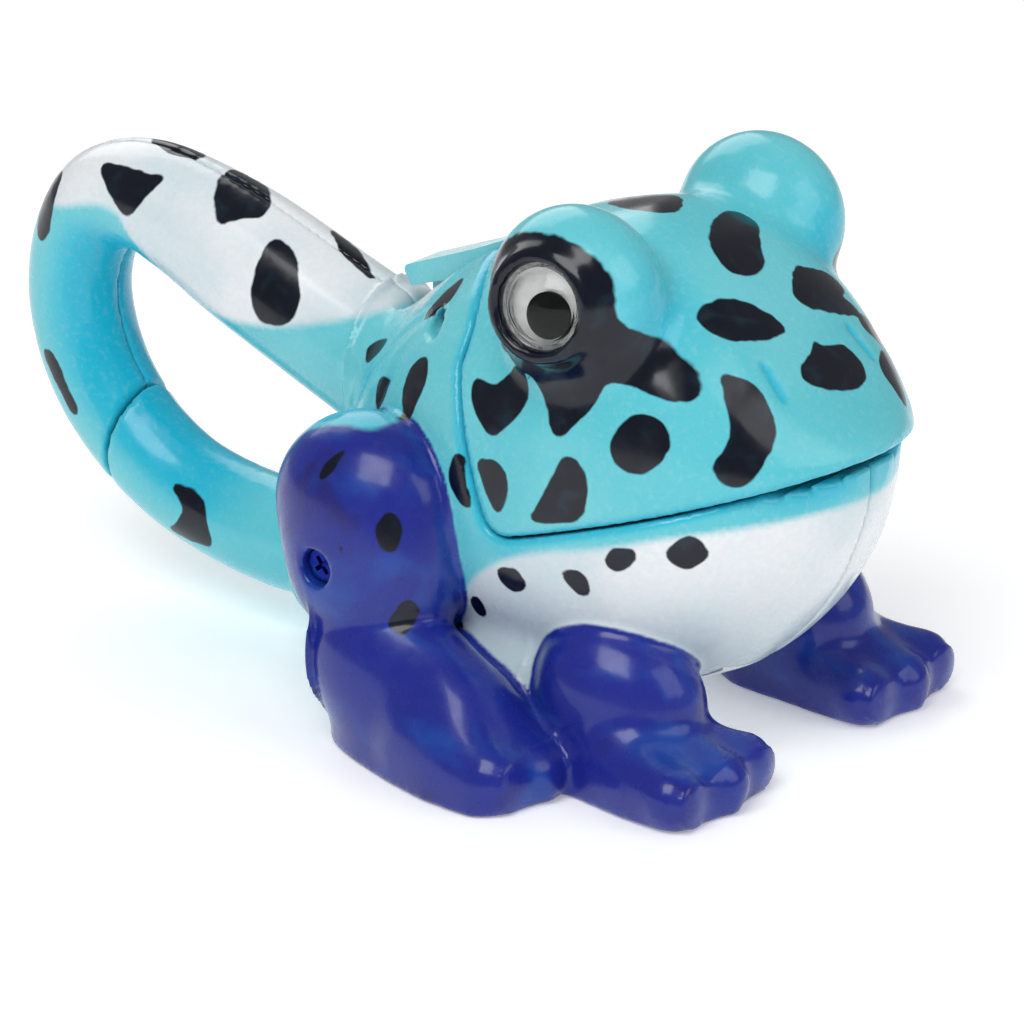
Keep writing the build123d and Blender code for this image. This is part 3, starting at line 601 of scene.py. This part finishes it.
def build_shells():
    """Every painted moulding, as a mesh that stands for its CAD node."""
    body = body_shell(HALF)
    radius, floor = SCREW_HOLE
    screw_hole = disc(HALF, KNEE_SCREW, radius, -FAR, floor)
    right = surface("body_right", HALF, common(body, -screw_hole, 0.4))
    unflipped = surface("body_left_raw", HALF, body)
    left = flipped(unflipped, "body_left")
    bpy.data.objects.remove(unflipped)
    right_side = right_half((9.0, -20.0, 17.0), (45.6, 0.0, 49.0))
    head = surface("head", right_side, mirrored(head_shell(right_side)))
    deck_side = right_half((17.0, -18.0, 16.0), (44.4, 0.0, 29.0))
    deck = surface("mouth_deck", deck_side, mirrored(mouth_deck(deck_side)))
    gate_side = right_half((-36.0, -6.0, 0.0), (-3.0, 0.0, 20.0))
    gate = surface("gate_limb", gate_side, mirrored(gate_shape(gate_side)))
    return right, left, head, gate, deck


# ---- paint ----------------------------------------------------------------------------------
# Hand-painted spots: the middle, the way it faces, corners across and up from the middle
HEAD_SPOTS = [
    ((22.2, -1.1, 44.7), (-0.1, 0, 1), [
        (-0.8, -5.6), (-4.2, -5.8), (-3.3, 1.4), (1.1, 2.6), (2.0, -1.0),
    ]),
    ((29.2, 0.4, 42.6), (0.5, -0.1, 0.8), [
        (1.6, 3.6), (4.2, 3.4), (4.6, 1.8), (2.4, -0.8), (1.3, -3.4), (-2.6, -3.5), (-3.6, -1.9),
        (-2.6, 1.0),
    ]),
    ((33.7, -5.7, 38.3), (0.6, -0.2, 0.7), [
        (-3.9, 1.2), (-1.8, 2.1), (1.2, 2.0), (5.0, -1.2), (3.0, -2.1), (-1.0, -2.0),
        (-3.4, -0.6),
    ]),
    ((34.2, 5.4, 38.0), (0.7, 0.1, 0.7), [
        (-2.3, 2.2), (0.3, 2.9), (1.3, 0.8), (4.8, -3.7), (0.7, -2.8), (-1.8, -1.3),
    ]),
    ((38.6, 0.3, 33.5), (0.7, 0, 0.7), [
        (-3.7, 1.0), (-0.8, 2.0), (0.3, 2.8), (0.9, 2.0), (3.7, 1.6), (4.4, -1.0), (2.6, -2.4),
        (-1.0, -2.0), (-3.6, -0.5),
    ]),
    ((39.9, 7.6, 31.2), (0.7, 0.3, 0.6), [
        (-1.0, 1.2), (0.8, 2.2), (3.8, 1.6), (1.5, -1.0), (-1.5, -3.2), (-1.4, -0.6),
    ]),
    ((37.4, -11.1, 31.5), (0.7, -0.6, 0.5), [
        (-1.2, 4.3), (0.6, 4.4), (2.4, 2.9), (3.2, 0.3), (2.5, -2.2), (0.4, -4.5), (-1.2, -4.6),
        (-2.6, -2.9), (-0.9, -1.2), (-0.4, 0.8),
    ]),
    ((31.1, -15.7, 30.2), (0.3, -0.9, 0.2), [
        (-1.0, 2.3), (1.2, 2.4), (2.7, 0.8), (2.0, -1.6), (0.0, -2.8), (-2.0, -2.1), (-2.5, 0.3),
    ]),
    ((24.8, -17.4, 25.1), (0.1, -1, 0.1), [
        (-0.4, 3.0), (1.3, 3.3), (2.4, 1.5), (2.3, -1.3), (0.7, -2.4), (-3.1, -3.0), (-2.3, -1.3),
        (-1.2, 0.4),
    ]),
    ((18.0, -16.0, 31.5), (-0.1, -0.9, 0.3), [
        (-3.7, 1.2), (-1.0, 0.5), (0.0, 2.0), (1.5, 3.0), (2.8, 1.9), (2.8, -0.4), (0.4, -3.1),
        (-1.4, -3.0), (-3.3, -1.2),
    ]),
    ((18.2, -17.3, 24.6), (-0.1, -1, 0.1), [
        (-2.4, 1.5), (-0.3, 2.1), (1.4, 1.1), (1.4, -0.7), (0.5, -2.9),
    ]),
]
BODY_SPOTS = [
    ((-39.9, -3.8, 34.5), (-0.5, -0.8, 0.3), [
        (0.9, 3.4), (-1.2, 2.8), (-2.2, 0.0), (-1.5, -2.8), (0.5, -3.6), (1.4, -1.0),
    ]),
    ((-30.1, -4.4, 38.2), (0, -0.9, 0.5), [
        (-4.3, 1.5), (-1.1, 1.6), (1.0, 1.3), (3.7, 1.5), (2.2, -0.8), (0.5, -3.1), (-1.5, -1.6),
    ]),
    ((-28.5, 1.0, 40.5), (0.2, -0.2, 1), [
        (-2.9, 1.4), (-1.4, 3.0), (1.2, 1.9), (2.4, -2.4), (-1.0, -2.4),
    ]),
    ((-19.7, -1.7, 38.1), (0.3, -0.4, 0.8), [
        (-1.8, 3.7), (-0.2, 5.4), (1.8, 3.4), (2.6, 0.3), (1.9, -2.6), (-0.5, -2.3), (-2.2, -2.9),
        (-2.5, 0.4),
    ]),
    ((-13.3, -5.3, 32.7), (0.2, -0.9, 0.5), [
        (-1.7, 3.9), (-0.2, 3.8), (1.7, 1.4), (2.5, -0.9), (1.9, -3.7), (-1.3, -3.6),
        (-2.6, -1.7), (-2.0, 1.6),
    ]),
    ((-9.7, 0.5, 34.4), (0.4, -0.3, 0.9), [
        (-0.5, 3.9), (0.7, 2.4), (1.0, -0.4), (1.2, -4.4), (-0.4, -2.0), (-1.2, 1.2),
    ]),
    ((-38.4, -4.5, 18.8), (-0.1, -1, -0.1), [
        (-2.5, 2.4), (-0.6, 2.6), (0.5, 0.4), (2.1, -2.6), (0.9, -3.0), (-0.7, -0.5),
    ]),
    ((-1.9, -6.9, 29.4), (-0.5, -0.7, 0.6), [
        (-1.5, -0.5), (-0.8, 0.8), (1.6, 1.6), (0.9, -0.4), (-0.1, -1.6),
    ]),
    ((7.3, -13.5, 29.6), (-0.4, -0.8, 0.4), [
        (-1.2, 2.3), (0.4, 3.0), (1.7, 0.6), (1.2, -1.7), (1.1, -3.2), (-1.3, -1.5), (-1.8, 0.9),
    ]),
    ((6.6, -8.2, 35.6), (-0.5, -0.5, 0.7), [
        (-0.8, -3.0), (-1.5, -1.4), (-1.0, 2.8), (1.3, 1.4), (1.4, -0.2),
    ]),
    ((2.7, -11.4, 28.2), (-0.5, -0.7, 0.4), [
        (-1.5, 0.4), (0.6, 0.9), (1.1, -1.7), (0, -2.3), (-1.4, -0.8),
    ]),
    ((14.6, -17.0, 24.3), (0, -1, 0.2), [
        (-0.7, 2.0), (0.2, 1.9), (0.4, 0.4), (1.5, -2.3), (0.1, -2.4), (-1.3, -0.6), (-1.2, 1.0),
    ]),
    ((5.0, -21.4, 24.6), (0, -0.8, 0.5), [
        (0.9, 1.9), (0.6, 0.1), (-0.2, -1.4), (-1.1, -1.2), (-0.6, 0.6),
    ]),
    ((10.7, -21.3, 20.1), (0.5, -0.8, 0.2), [
        (-0.4, 1.7), (0.8, 1.2), (1.0, -0.3), (0.4, -2.0), (-0.8, -1.2), (-1.3, 0.3),
    ]),
    ((11.8, -21.0, 12.9), (0.6, -0.8, 0.1), [
        (-1.5, -0.4), (0.0, 1.7), (1.3, 1.0), (1.3, 0.0), (0.0, -1.4), (-1.0, -1.0),
    ]),
    ((7.0, -23.0, 18.3), (0.1, -1, 0.1), [
        (-0.3, 0.7), (0.4, 0.0), (0.3, -0.6), (-0.4, 0.1),
    ]),
    ((19.7, -17.0, 16.8), (0, -1, -0.2), [
        (-1.6, 0.8), (0.5, 1.3), (1.8, -0.3), (0.3, -1.4), (-1.3, -0.7),
    ]),
    ((25.8, -16.9, 17.8), (0.2, -1, -0.2), [
        (-1.5, 0.5), (-0.1, 1.3), (1.0, 0.8), (1.5, -0.8), (0.2, -1.4),
    ]),
    ((29.9, -16.4, 20.5), (0.3, -1, -0.1), [
        (-1.4, 0.0), (-0.3, 1.1), (1.2, 1.0), (1.3, 0), (0.2, -1.2), (-1.1, -1.0),
    ]),
    ((34.6, -14.2, 21.4), (0.6, -0.8, -0.1), [
        (-1.6, 0.1), (-0.6, 1.4), (1.0, 1.5), (2.2, -0.5), (0.3, -1.6), (-1.1, -0.9),
    ]),
    ((15.3, -15.5, 13.0), (0, -0.9, -0.5), [
        (-0.7, 1.1), (0.7, 1.2), (0.5, -1.2), (-0.7, -1.1),
    ]),
    ((12.6, -13.4, 10.0), (-0.1, -0.8, -0.6), [
        (-0.6, 1.0), (0.8, 1.4), (0.6, -1.2), (-0.8, -1.4),
    ]),
]
GATE_SPOTS = [
    ((-24.1, -4.5, 9.2), (0, -1, 0), [
        (-2.5, 2.6), (0.8, 2.3), (2.0, 0.4), (2.7, -2.8), (-0.4, -2.5), (-3.5, -2.3),
        (-0.8, -0.4), (-0.8, 0.9),
    ]),
]
# The black paint round the eye and down the cheek, in side view
EYE_PATCH = [
    (23.0, 46.4), (27.0, 45.4), (29.2, 43.0), (29.4, 40.0), (31.4, 37.4), (33.6, 35.8), (35.0, 33.4),
    (32.2, 33.6), (29.2, 34.8), (27.6, 34.2), (26.6, 32.0), (23.6, 28.8), (22.4, 33.2), (19.4, 34.6),
    (16.2, 35.2), (15.2, 38.0), (15.8, 42.0), (19.0, 45.4),
]


def normals_of(piece):
    found = np.zeros(len(piece.data.vertices) * 3)
    piece.data.vertex_normals.foreach_get("vector", found)
    return found.reshape(-1, 3)


def rounded(corners):
    """A closed outline with its corners cut off twice, which rounds them."""
    for _ in range(2):
        cut = []
        for (ax, ay), (bx, by) in zip(corners, corners[1:] + corners[:1]):
            cut.append((ax * 0.75 + bx * 0.25, ay * 0.75 + by * 0.25))
            cut.append((ax * 0.25 + bx * 0.75, ay * 0.25 + by * 0.75))
        corners = cut
    return corners


def other_side(spots):
    """Spots of the same kind for the frog's left flank, each moved a little."""
    return [
        ((x + 0.7, -y, z + 0.4), (nx, -ny, nz), corners)
        for (x, y, z), (nx, ny, nz), corners in spots
        if y < -3.5
    ]


def spot_field(at, normals, spots):
    """Distance to the nearest painted spot, along the surface, negative inside one."""
    field = np.full(len(at), 9.0)
    for middle, facing, corners in spots:
        facing = Vector(facing).normalized()
        aside = Vector((0, 0, 1)).cross(facing).normalized()
        upward = facing.cross(aside)
        gap = at - middle
        near = ((gap**2).sum(1) < 90) & (normals @ np.array(facing) > 0.05)
        near &= np.abs(gap @ np.array(facing)) < 3.5
        across, up = gap[near] @ np.array(aside), gap[near] @ np.array(upward)
        field[near] = np.minimum(field[near], outline_2d(across, up, rounded(corners)))
    return field


def paint(piece, spots):
    """Gives a moulding its paint and its painted shade: how much of each colour lies on every vertex.
    """
    at = vertices(piece)
    normals = normals_of(piece)
    ink = spot_field(at, normals, spots + other_side(spots))
    outer = np.abs(at[:, 1])
    patched = (outer > 13.0) | ((outer > 9.5) & (normals[:, 1] * np.sign(at[:, 1]) > 0.15))
    patch = outline_2d(at[:, 0], at[:, 2], rounded(EYE_PATCH))
    if piece.name == "head":
        ink = np.where(patched, np.minimum(ink, patch), ink)
    set_attribute(piece, "ink", ink)
    here = Points(at * (1, -1, 1))
    here.y = -np.abs(at[:, 1])
    blue = 1 - np.minimum(ramp(hind_leg(here), 0.2, 0.9), ramp(front_leg(here), 0.15, 0.8))
    blue = np.where(here.y < -18.0, 1, blue)
    crown = ramp(here.z - 27.0 + 0.06 * np.minimum(here.x - 5.0, 0.0) ** 2, -0.3, 0.6)
    crown = crown * ramp(-here.x, -9.0, -6.0)
    blue = np.where(here.z > 29, 0, blue)
    if piece.name == "head":
        blue = 0 * blue
    set_attribute(piece, "blue", blue * (1 - crown))
    belly = ramp(belly_edge(here.x) - here.z, -0.35, 0.6) * ramp(here.x, 6.0, 9.0)
    arm = ramp(here.z - arm_edge(here.x), -0.5, 0.6)
    white = np.where(here.x < 7.0, arm, belly)
    if piece.name != "head":
        set_attribute(piece, "white", white)
    # Painted shade: deeper cyan along the lid's seam groove and in the nostril's hollow
    seam = 1 - ramp(np.abs(lid_space(here)), 0.3, 1.0)
    nostril_shade = 1 - ramp(capsule(here, *NOSTRIL, 0.2, 0.1), 0.1, 0.5)
    # Painted shade in the hollows, on the loop's inner side, in the seam groove and the nostril; the
    # knee tops add their real cyan rim
    painted_shade_and_rim = np.maximum(painted_hollow_shade(here), loop_inside_shade(at, normals))
    painted_shade_and_rim = np.maximum(np.maximum(painted_shade_and_rim, nostril_shade), 0.75 * seam)
    set_attribute(piece, "painted_shade_and_rim", np.maximum(painted_shade_and_rim, crown * blue))


def arm_edge(x):
    """Height where the hook arm turns from turquoise to white."""
    xs = [-46.0, -38.0, -33.0, -31.0, -29.8, -26.0, -19.5, -14.7, -10.0, -3.0, 3.0, 6.0]
    zs = [34.0, 34.8, 35.8, 35.4, 33.4, 30.0, 28.3, 28.7, 29.6, 31.6, 34.0, 40.0]
    return curve_through(xs, zs, x)


def belly_edge(x):
    """Height where the lower jaw's turquoise lip turns into the white belly."""
    xs = [4.0, 9.0, 12.0, 15.0, 18.3, 22.0, 28.0, 33.5, 38.0, 44.5]
    zs = [0.0, 3.0, 9.0, 15.2, 18.0, 19.7, 21.2, 22.7, 23.4, 24.2]
    return curve_through(xs, zs, x)


def loop_inside_shade(at, normals):
    """How much each point of the loop faces its hole, where deeper cyan is painted as shade."""
    way_x, way_z = LOOP_HOLE[0] - at[:, 0], LOOP_HOLE[1] - at[:, 2]
    length = np.hypot(way_x, way_z)
    facing = (normals[:, 0] * way_x + normals[:, 2] * way_z) / np.maximum(length, 1)
    there = ramp(-at[:, 0], 16.0, 24.0) * ramp(36.0 - at[:, 2], 0.0, 4.0)
    return ramp(facing, -0.25, 0.55) * there * (np.abs(at[:, 1]) < 8)


def painted_hollow_shade(here):
    """Painted shade as deeper cyan: beside the eye bumps, along the lips, in the neck creases and at
    the rims of the knees.
    """
    blobs = [
        ((30.6, -12.6, 40.0), (2.6, 4.5, 4.2), 0.8),
        ((40.5, -5.0, 25.8), (5.0, 7.0, 1.7), 1.0),
        ((20.4, -17.2, 19.4), (4.0, 3.0, 1.6), 0.5),
        ((-1.6, -8.4, 27.4), (1.0, 1.0, 3.4), 0.9),
        ((2.7, -11.6, 28.8), (0.9, 0.9, 2.4), 0.9),
    ]
    painted_shade_and_rim = 0
    for centre, size, strength in blobs:
        gap = [(here.x - centre[0]), (here.y - centre[1]), (here.z - centre[2])]
        far = sum((g / s) ** 2 for g, s in zip(gap, size))
        painted_shade_and_rim = np.maximum(painted_shade_and_rim, strength * np.exp(-1.2 * far))
    return painted_shade_and_rim


# ---- materials ------------------------------------------------------------------------------
class Nodes:
    """Short calls for building one node material."""

    def __init__(self, name):
        self.material = bpy.data.materials.new(name)
        self.material.use_nodes = True
        self.tree = self.material.node_tree
        self.shader = self.tree.nodes["Principled BSDF"]
        self.place = None

    def link(self, source, target):
        self.tree.links.new(source, target)

    def add(self, kind, **settings):
        node = self.tree.nodes.new(kind)
        for key, value in settings.items():
            setattr(node, key, value)
        return node

    def value(self, node, socket, source):
        if isinstance(source, (int, float, tuple)):
            node.inputs[socket].default_value = source
        else:
            self.link(source, node.inputs[socket])

    def where(self):
        if self.place is None:
            self.place = self.add("ShaderNodeTexCoord").outputs["Object"]
        return self.place

    def height(self):
        split = self.add("ShaderNodeSeparateXYZ")
        self.link(self.where(), split.inputs[0])
        return split.outputs[2]

    def noise(self, size_mm, detail=3.0, stretch=None, distortion=0.0):
        """Noise with features of about that size in millimetres."""
        node = self.add("ShaderNodeTexNoise")
        node.inputs["Scale"].default_value = 1000.0 / size_mm
        node.inputs["Detail"].default_value = detail
        node.inputs["Distortion"].default_value = distortion
        source = self.where()
        if stretch:
            mapping = self.add("ShaderNodeMapping")
            mapping.inputs["Scale"].default_value = stretch
            self.link(source, mapping.inputs["Vector"])
            source = mapping.outputs["Vector"]
        self.link(source, node.inputs["Vector"])
        return node.outputs["Fac"]

    def spread(self, source, low, high, to_low=0.0, to_high=1.0):
        """A value moved from one range to another, smoothly and within its limits."""
        node = self.add("ShaderNodeMapRange", interpolation_type="SMOOTHSTEP")
        for socket, number in zip((1, 2, 3, 4), (low, high, to_low, to_high)):
            node.inputs[socket].default_value = number
        self.link(source, node.inputs[0])
        return node.outputs[0]

    def math(self, operation, a, b=0.0, clamp=False):
        node = self.add("ShaderNodeMath", operation=operation, use_clamp=clamp)
        self.value(node, 0, a)
        self.value(node, 1, b)
        return node.outputs[0]

    def mix(self, share, a, b):
        """Colour a, turning into colour b as share goes from 0 to 1."""
        node = self.add("ShaderNodeMix", data_type="RGBA")
        self.value(node, 0, share)
        self.value(node, 6, a)
        self.value(node, 7, b)
        return node.outputs[2]

    def attribute(self, name):
        return self.add("ShaderNodeAttribute", attribute_name=name).outputs["Fac"]

    def bump(self, height, strength, distance_mm):
        node = self.add("ShaderNodeBump")
        node.inputs["Strength"].default_value = strength
        node.inputs["Distance"].default_value = distance_mm * MM
        self.link(height, node.inputs["Height"])
        self.link(node.outputs["Normal"], self.shader.inputs["Normal"])

    def set(self, **sockets):
        """Constants on the shader's own sockets, with _ for each space in a socket's name."""
        for key, value in sockets.items():
            self.shader.inputs[key.replace("_", " ")].default_value = value
        return self


def colour(r, g, b):
    """A display colour, 0 to 255, as the linear one that a shader takes."""
    linear = []
    for channel in (r, g, b):
        c = channel / 255
        linear.append(c / 12.92 if c <= 0.04045 else ((c + 0.055) / 1.055) ** 2.4)
    return (*linear, 1.0)


TURQUOISE = colour(92, 198, 210)
TURQUOISE_PALE = colour(112, 206, 216)
CYAN_SHADE_AND_RIM = colour(0, 182, 212)
WHITE = colour(236, 238, 241)
WHITE_SHADE = colour(214, 226, 231)
# painted shade for the underside of the white belly
WHITE_SHADED_UNDERSIDE = colour(190, 208, 213)
BLUE = colour(28, 40, 138)
BLUE_STREAK = colour(26, 66, 156)
BLUE_DARK = colour(34, 28, 104)
INK = colour(2, 9, 26)
INK_PALE = colour(14, 34, 48)


def painted_plastic(name):
    """Gloss paint on moulded plastic: sprayed turquoise, white and blue, with brushed spots, and
    painted shade in deeper cyan and on the lower belly.
    """
    n = Nodes(name)
    cloud = n.noise(14.0, 2.0)
    grain = n.noise(1.6, 4.0)
    base = n.mix(n.spread(cloud, 0.35, 0.7), TURQUOISE, TURQUOISE_PALE)
    # Deeper cyan: painted shade in hollows, creases and the loop's inner side, plus the real cyan rim
    # on the knee tops
    base = n.mix(n.math("MULTIPLY", n.attribute("painted_shade_and_rim"), 0.9), base, CYAN_SHADE_AND_RIM)
    speckle = n.spread(n.noise(0.5, 2.0), 0.4, 0.7, -0.06, 0.06)
    white_edge = n.math("ADD", n.attribute("white"), speckle, clamp=True)
    pale = n.mix(n.spread(cloud, 0.4, 0.65), WHITE, WHITE_SHADE)
    # Painted shade: the white turns grey-blue towards the bottom of the belly
    pale = n.mix(n.spread(n.height(), 5.5 * MM, 22.0 * MM, 1.0, 0.0), pale, WHITE_SHADED_UNDERSIDE)
    base = n.mix(white_edge, base, pale)
    streaks = n.noise(3.6, 4.0, stretch=(0.45, 1.0, 0.8), distortion=0.6)
    legs = n.mix(n.spread(streaks, 0.45, 0.72), BLUE, BLUE_STREAK)
    legs = n.mix(n.spread(n.noise(7.0, 3.0, distortion=0.4), 0.56, 0.75), legs, BLUE_DARK)
    edge = n.math("ADD", n.attribute("blue"), n.spread(grain, 0.3, 0.7, -0.06, 0.06), clamp=True)
    base = n.mix(n.spread(edge, 0.25, 0.8), base, legs)
    wobble = n.spread(n.noise(2.4, 2.0), 0.3, 0.7, -0.12, 0.12)
    rim = n.math("ADD", n.attribute("ink"), wobble)
    spot = n.spread(rim, -0.1, 0.12, 1.0, 0.0)
    ink = n.mix(n.spread(n.noise(2.2, 4.0, distortion=0.5), 0.5, 0.75), INK, INK_PALE)
    base = n.mix(spot, base, ink)
    n.link(base, n.shader.inputs["Base Color"])
    rough = n.spread(grain, 0.3, 0.75, 0.2, 0.34)
    rough = n.math("ADD", rough, n.math("MULTIPLY", spot, -0.06))
    n.link(rough, n.shader.inputs["Roughness"])
    height = n.math("ADD", n.math("MULTIPLY", spot, 0.5), n.math("MULTIPLY", grain, 0.22))
    height = n.math("ADD", height, n.math("MULTIPLY", n.noise(5.0, 1.0), 0.5))
    n.bump(height, 0.22, 0.06)
    n.set(Coat_Weight=0.28, Coat_Roughness=0.12, Specular_IOR_Level=0.3, IOR=1.5)
    return n.material


def moulded(name, main, other, roughness=0.38, coat=0.0, grain_mm=0.8, sheen=0.5):
    """Plain moulded plastic with slight flow marks and a fine texture."""
    n = Nodes(name)
    flow = n.noise(9.0, 3.0, distortion=0.8)
    n.link(n.mix(n.spread(flow, 0.35, 0.7), main, other), n.shader.inputs["Base Color"])
    fine = n.noise(grain_mm, 3.0)
    n.link(n.spread(fine, 0.3, 0.7, roughness - 0.07, roughness + 0.07), n.shader.inputs["Roughness"])
    n.bump(fine, 0.25, 0.05)
    n.set(Coat_Weight=coat, Coat_Roughness=0.12, Specular_IOR_Level=sheen, IOR=1.5)
    return n.material


def metal(name, main, other, roughness=0.3, brushed=None):
    """Plated metal with faint scratches and tarnish."""
    n = Nodes(name)
    tone = n.spread(n.noise(3.0, 4.0), 0.35, 0.7)
    n.link(n.mix(tone, main, other), n.shader.inputs["Base Color"])
    scratch = n.noise(0.5, 3.0, stretch=brushed)
    rough = n.spread(scratch, 0.3, 0.7, roughness - 0.08, roughness + 0.1)
    n.link(rough, n.shader.inputs["Roughness"])
    n.bump(scratch, 0.2, 0.02)
    n.set(Metallic=1.0)
    return n.material


def clear(name, tint, roughness=0.03, index=1.45):
    """Clear plastic that lets light straight through, with a gloss surface."""
    n = Nodes(name)
    tone = n.spread(n.noise(2.0, 2.0), 0.3, 0.7)
    n.link(n.mix(tone, tint, colour(255, 255, 255)), n.shader.inputs["Base Color"])
    rough = n.spread(n.noise(1.0, 2.0), 0.3, 0.7, roughness, roughness + 0.03)
    n.link(rough, n.shader.inputs["Roughness"])
    n.set(Transmission_Weight=1.0, IOR=index)
    return n.material


def foil(name):
    """The bright disc behind the eye, faintly facetted like pressed foil."""
    n = Nodes(name)
    crinkle = n.noise(1.4, 3.0, distortion=0.6)
    silver = n.mix(n.spread(crinkle, 0.3, 0.7), colour(236, 238, 237), colour(253, 253, 251))
    n.link(silver, n.shader.inputs["Base Color"])
    n.link(n.spread(crinkle, 0.3, 0.7, 0.3, 0.5), n.shader.inputs["Roughness"])
    n.bump(crinkle, 0.5, 0.12)
    n.set(Metallic=0.25)
    return n.material


def finish_cad_nodes():
    """A material for every CAD node that stays as it is."""
    turquoise = moulded("lever_plastic", TURQUOISE, TURQUOISE_PALE, 0.3, 0.5)
    finishes = {
        "turquoise_plastic": turquoise,
        "palate_plastic": moulded("palate_plastic", colour(88, 188, 204), TURQUOISE, 0.36, 0.3),
        "mouth_plastic": moulded("mouth_plastic", colour(84, 186, 202), TURQUOISE, 0.36, 0.3),
        "steel": metal("zinc_steel", colour(190, 190, 194), colour(150, 152, 158), 0.32),
        "cell_steel": metal("cell_steel", colour(206, 206, 206), colour(178, 178, 182), 0.28),
        "contact_metal": metal("contact_brass", colour(212, 190, 120), colour(180, 156, 96), 0.34),
        "led_lens": clear("lens_epoxy", colour(240, 246, 255)),
        "board": moulded("phenolic_board", colour(150, 104, 58), colour(120, 80, 44), 0.6),
        "white_plastic": moulded("white_plastic", colour(226, 228, 230), colour(212, 216, 220), 0.45),
        "door_plastic": moulded("door_plastic", WHITE, WHITE_SHADE, 0.26, 0.6),
        "eye_foil": foil("eye_foil"),
        "eye_pupil": moulded("eye_pupil", colour(1, 1, 2), colour(4, 6, 10), 0.5, sheen=0.05),
        "eye_dome": clear("eye_dome", colour(250, 252, 252), index=1.25),
        "painted_body": turquoise,
        "painted_head": turquoise,
        "painted_gate": turquoise,
    }
    for part in frame["record"]["subparts"]:
        node = frame["nodes"][part["node"]]
        node.data.materials.clear()
        node.data.materials.append(finishes[part["material_slot"]])
    painted_over = metal("painted_screw", BLUE, BLUE_STREAK, 0.35)
    frame["nodes"]["body_screw"].data.materials[0] = painted_over


# ---- room, light and camera -----------------------------------------------------------------
# Softboxes: name, position and width in metres, power in watts
SOFTBOXES = [
    ("key", (0.10, -0.42, 0.55), 0.4, 2.6),
    ("fill", (0.55, 0.05, 0.35), 0.4, 0.9),
    ("back", (-0.45, 0.30, 0.45), 0.5, 1.5),
]
WORLD_STRENGTH = 0.27
FLOOR_GLOW = 0.28  # keeps the paper white where the softboxes reach it less
CAMERA_AZIMUTH = radians(36.0)  # from straight at the frog's right side, towards its nose
CAMERA_ELEVATION = radians(19.7)
CAMERA_DISTANCE = 0.450
CAMERA_TARGET = (0.0074, 0.0, 0.0155)
CAMERA_LENS = 188.3  # millimetres, on a sensor 36 mm wide


def stage():
    """A sheet of white paper under the toy, in an evenly lit room."""
    bpy.ops.mesh.primitive_plane_add(size=3.0, location=(0, 0, 0))
    floor = bpy.context.object
    floor.name = "floor"
    n = Nodes("floor_paper")
    tone = n.spread(n.noise(120.0, 2.0), 0.3, 0.7)
    n.link(n.mix(tone, colour(250, 250, 251), colour(246, 247, 248)), n.shader.inputs["Base Color"])
    n.link(n.spread(n.noise(2.0, 3.0), 0.3, 0.7, 0.75, 0.85), n.shader.inputs["Roughness"])
    n.set(Emission_Color=colour(255, 255, 255), Emission_Strength=FLOOR_GLOW)
    floor.data.materials.append(n.material)
    world = bpy.data.worlds.new("room")
    world.use_nodes = True
    world.node_tree.nodes["Background"].inputs["Color"].default_value = (1.0, 1.0, 1.0, 1.0)
    world.node_tree.nodes["Background"].inputs["Strength"].default_value = WORLD_STRENGTH
    bpy.context.scene.world = world


def softbox(name, position, width, power, target=(0.0, 0.0, 0.02)):
    """A square area light that points at the toy."""
    light = bpy.data.lights.new(name, "AREA")
    light.shape = "RECTANGLE"
    light.size, light.size_y = width, width
    light.energy = power
    lamp = bpy.data.objects.new(name, light)
    lamp.location = position
    lamp.rotation_euler = (Vector(target) - Vector(position)).to_track_quat("-Z", "Y").to_euler()
    bpy.context.scene.collection.objects.link(lamp)


def camera():
    """A long lens at the frog's right front, a little above it."""
    level = cos(CAMERA_ELEVATION)
    back = Vector(
        (sin(CAMERA_AZIMUTH) * level, -cos(CAMERA_AZIMUTH) * level, sin(CAMERA_ELEVATION))
    )
    lens = bpy.data.cameras.new("camera")
    lens.sensor_width = 36.0
    lens.lens = CAMERA_LENS
    lens.clip_start = 0.01
    seat = bpy.data.objects.new("camera", lens)
    seat.location = Vector(CAMERA_TARGET) + back * CAMERA_DISTANCE
    seat.rotation_euler = (-back).to_track_quat("-Z", "Y").to_euler()
    bpy.context.scene.collection.objects.link(seat)
    bpy.context.scene.camera = seat


# ---- the whole scene --------------------------------------------------------------------------
finish_cad_nodes()
right_shell, left_shell, head, gate_limb, deck = build_shells()
gloss_paint = painted_plastic("gloss_paint")
for piece, spots in (
    (right_shell, BODY_SPOTS),
    (left_shell, BODY_SPOTS),
    (head, HEAD_SPOTS),
    (gate_limb, GATE_SPOTS),
):
    paint(piece, spots)
    piece.data.materials.append(gloss_paint)
deck.data.materials.append(frame["nodes"]["mouth_floor"].data.materials[0])
for piece, body, node, slot_name in (
    (right_shell, "body", "body_shell_right", "painted_body"),
    (left_shell, "body", "body_shell_left", "painted_body"),
    (head, "upper_jaw", "head_shell", "painted_head"),
    (gate_limb, "gate", "gate", "painted_gate"),
    (deck, "body", "mouth_floor", "mouth_plastic"),
):
    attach(piece, body)
    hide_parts(node)
stage()
for name, position, width, power in SOFTBOXES:
    softbox(name, position, width, power)
camera()
bpy.context.scene.view_settings.view_transform = "Standard"
